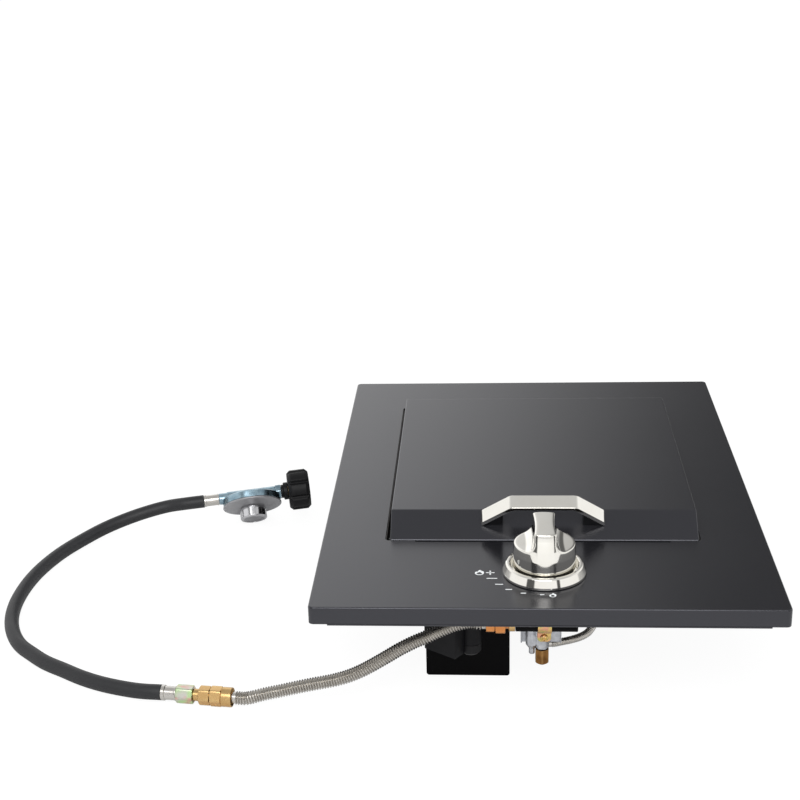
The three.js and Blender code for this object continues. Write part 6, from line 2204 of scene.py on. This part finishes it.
    def sky(self) -> None:
        """A sky in two halves that is white to the camera.

        Behind the object it is bright to the left and dim to the right. Before it, it is bright with two dark
        flags, which give the chrome its dark bands.
        """
        world = bpy.data.worlds.new("studio_sky")
        world.use_nodes = True
        bpy.context.scene.world = world
        nodes, links = world.node_tree.nodes, world.node_tree.links
        place = nodes.new("ShaderNodeTexCoord")
        axes = nodes.new("ShaderNodeSeparateXYZ")
        links.new(place.outputs["Generated"], axes.inputs[0])
        depth = nodes.new("ShaderNodeMath")
        depth.operation = "ABSOLUTE"
        links.new(axes.outputs["Y"], depth.inputs[0])
        guard = nodes.new("ShaderNodeMath")
        guard.operation = "MAXIMUM"
        guard.inputs[1].default_value = 0.05
        links.new(depth.outputs[0], guard.inputs[0])
        ratio = nodes.new("ShaderNodeMath")
        ratio.operation = "DIVIDE"
        links.new(axes.outputs["X"], ratio.inputs[0])
        links.new(guard.outputs[0], ratio.inputs[1])
        bearing = nodes.new("ShaderNodeMapRange")
        bearing.inputs["From Min"].default_value = -2.0
        bearing.inputs["From Max"].default_value = 2.0
        links.new(ratio.outputs[0], bearing.inputs["Value"])
        facing = nodes.new("ShaderNodeMapRange")
        facing.interpolation_type = "SMOOTHSTEP"
        facing.inputs["From Min"].default_value = -0.06
        facing.inputs["From Max"].default_value = 0.06
        links.new(axes.outputs["Y"], facing.inputs["Value"])
        around = nodes.new("ShaderNodeMix")
        links.new(facing.outputs[0], around.inputs[0])
        for stops, socket in ((self.before, 2), (self.behind, 3)):
            ramp = self.ramp(nodes, stops)
            links.new(bearing.outputs[0], ramp.inputs[0])
            links.new(ramp.outputs["Color"], around.inputs[socket])
        side = nodes.new("ShaderNodeMath")
        side.operation = "MULTIPLY"
        side.inputs[1].default_value = self.brightest * self.lift
        links.new(around.outputs[0], side.inputs[0])
        height = nodes.new("ShaderNodeMapRange")
        height.interpolation_type = "SMOOTHSTEP"
        height.inputs["From Min"].default_value = 0.5
        height.inputs["From Max"].default_value = 0.9
        links.new(axes.outputs["Z"], height.inputs["Value"])
        above = nodes.new("ShaderNodeMix")
        links.new(height.outputs[0], above.inputs[0])
        links.new(side.outputs[0], above.inputs[2])
        above.inputs[3].default_value = self.zenith
        rays = nodes.new("ShaderNodeLightPath")
        seen = nodes.new("ShaderNodeMix")
        links.new(rays.outputs["Is Camera Ray"], seen.inputs[0])
        links.new(above.outputs[0], seen.inputs[2])
        seen.inputs[3].default_value = 1.0
        background = nodes["Background"] if "Background" in nodes else nodes.new("ShaderNodeBackground")
        background.inputs["Color"].default_value = (1.0, 1.0, 1.0, 1.0)
        links.new(seen.outputs[0], background.inputs["Strength"])
        if "World Output" not in nodes:
            nodes.new("ShaderNodeOutputWorld")
        links.new(background.outputs[0], nodes["World Output"].inputs["Surface"])

    def lamp(self, name: str, place: Triple, target: Triple, size: float, power: float) -> None:
        """Add a soft square lamp.

        Args:
            name: Its name.
            place: Where it hangs.
            target: What it faces.
            size: Its side.
            power: Its power in watts.
        """
        data = bpy.data.lights.new(name, "AREA")
        data.size = size
        data.energy = power
        lamp = bpy.data.objects.new(name, data)
        aim = (Vector(target) - Vector(place)).to_track_quat("-Z", "Y")
        lamp.matrix_world = Matrix.Translation(place) @ aim.to_matrix().to_4x4()
        bpy.context.scene.collection.objects.link(lamp)

    def build(self) -> None:
        """Set up the studio."""
        self.camera()
        self.floor()
        self.sky()
        self.lamp("lamp_above", (-1.0, -2.2, 2.3), (-0.1, 0.0, 0.1), 1.2, 14.0)
        self.lamp("lamp_front", (0.0, -1.5, 1.3), (0.0, -0.95, 0.0), 0.9, 14.0)
        bpy.context.scene.view_settings.view_transform = "Standard"


def corners() -> list[list[float]]:
    """The shown object's lowest and highest corner as plain numbers."""
    return [[float(v) for v in corner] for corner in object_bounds()]


def main() -> None:
    """Load the frame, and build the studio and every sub-assembly."""
    logging.basicConfig(level=logging.INFO, format="%(name)s %(message)s")
    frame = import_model()
    studio = Studio()
    studio.build()
    shop = Workshop(frame)
    lines = GasLines()
    lines.connector(shop)
    lines.hose(shop)
    lines.outlet(shop)
    lines.fittings(shop)
    for assembly in (TopPanel(), PrintedMarks(), Lid(), Handle(), Knob(), KnobRing(), BurnerBay(),
                     IgniterSet(), ValveSet(), Regulator()):
        assembly.build(shop)


if __name__ == "__main__":
    main()
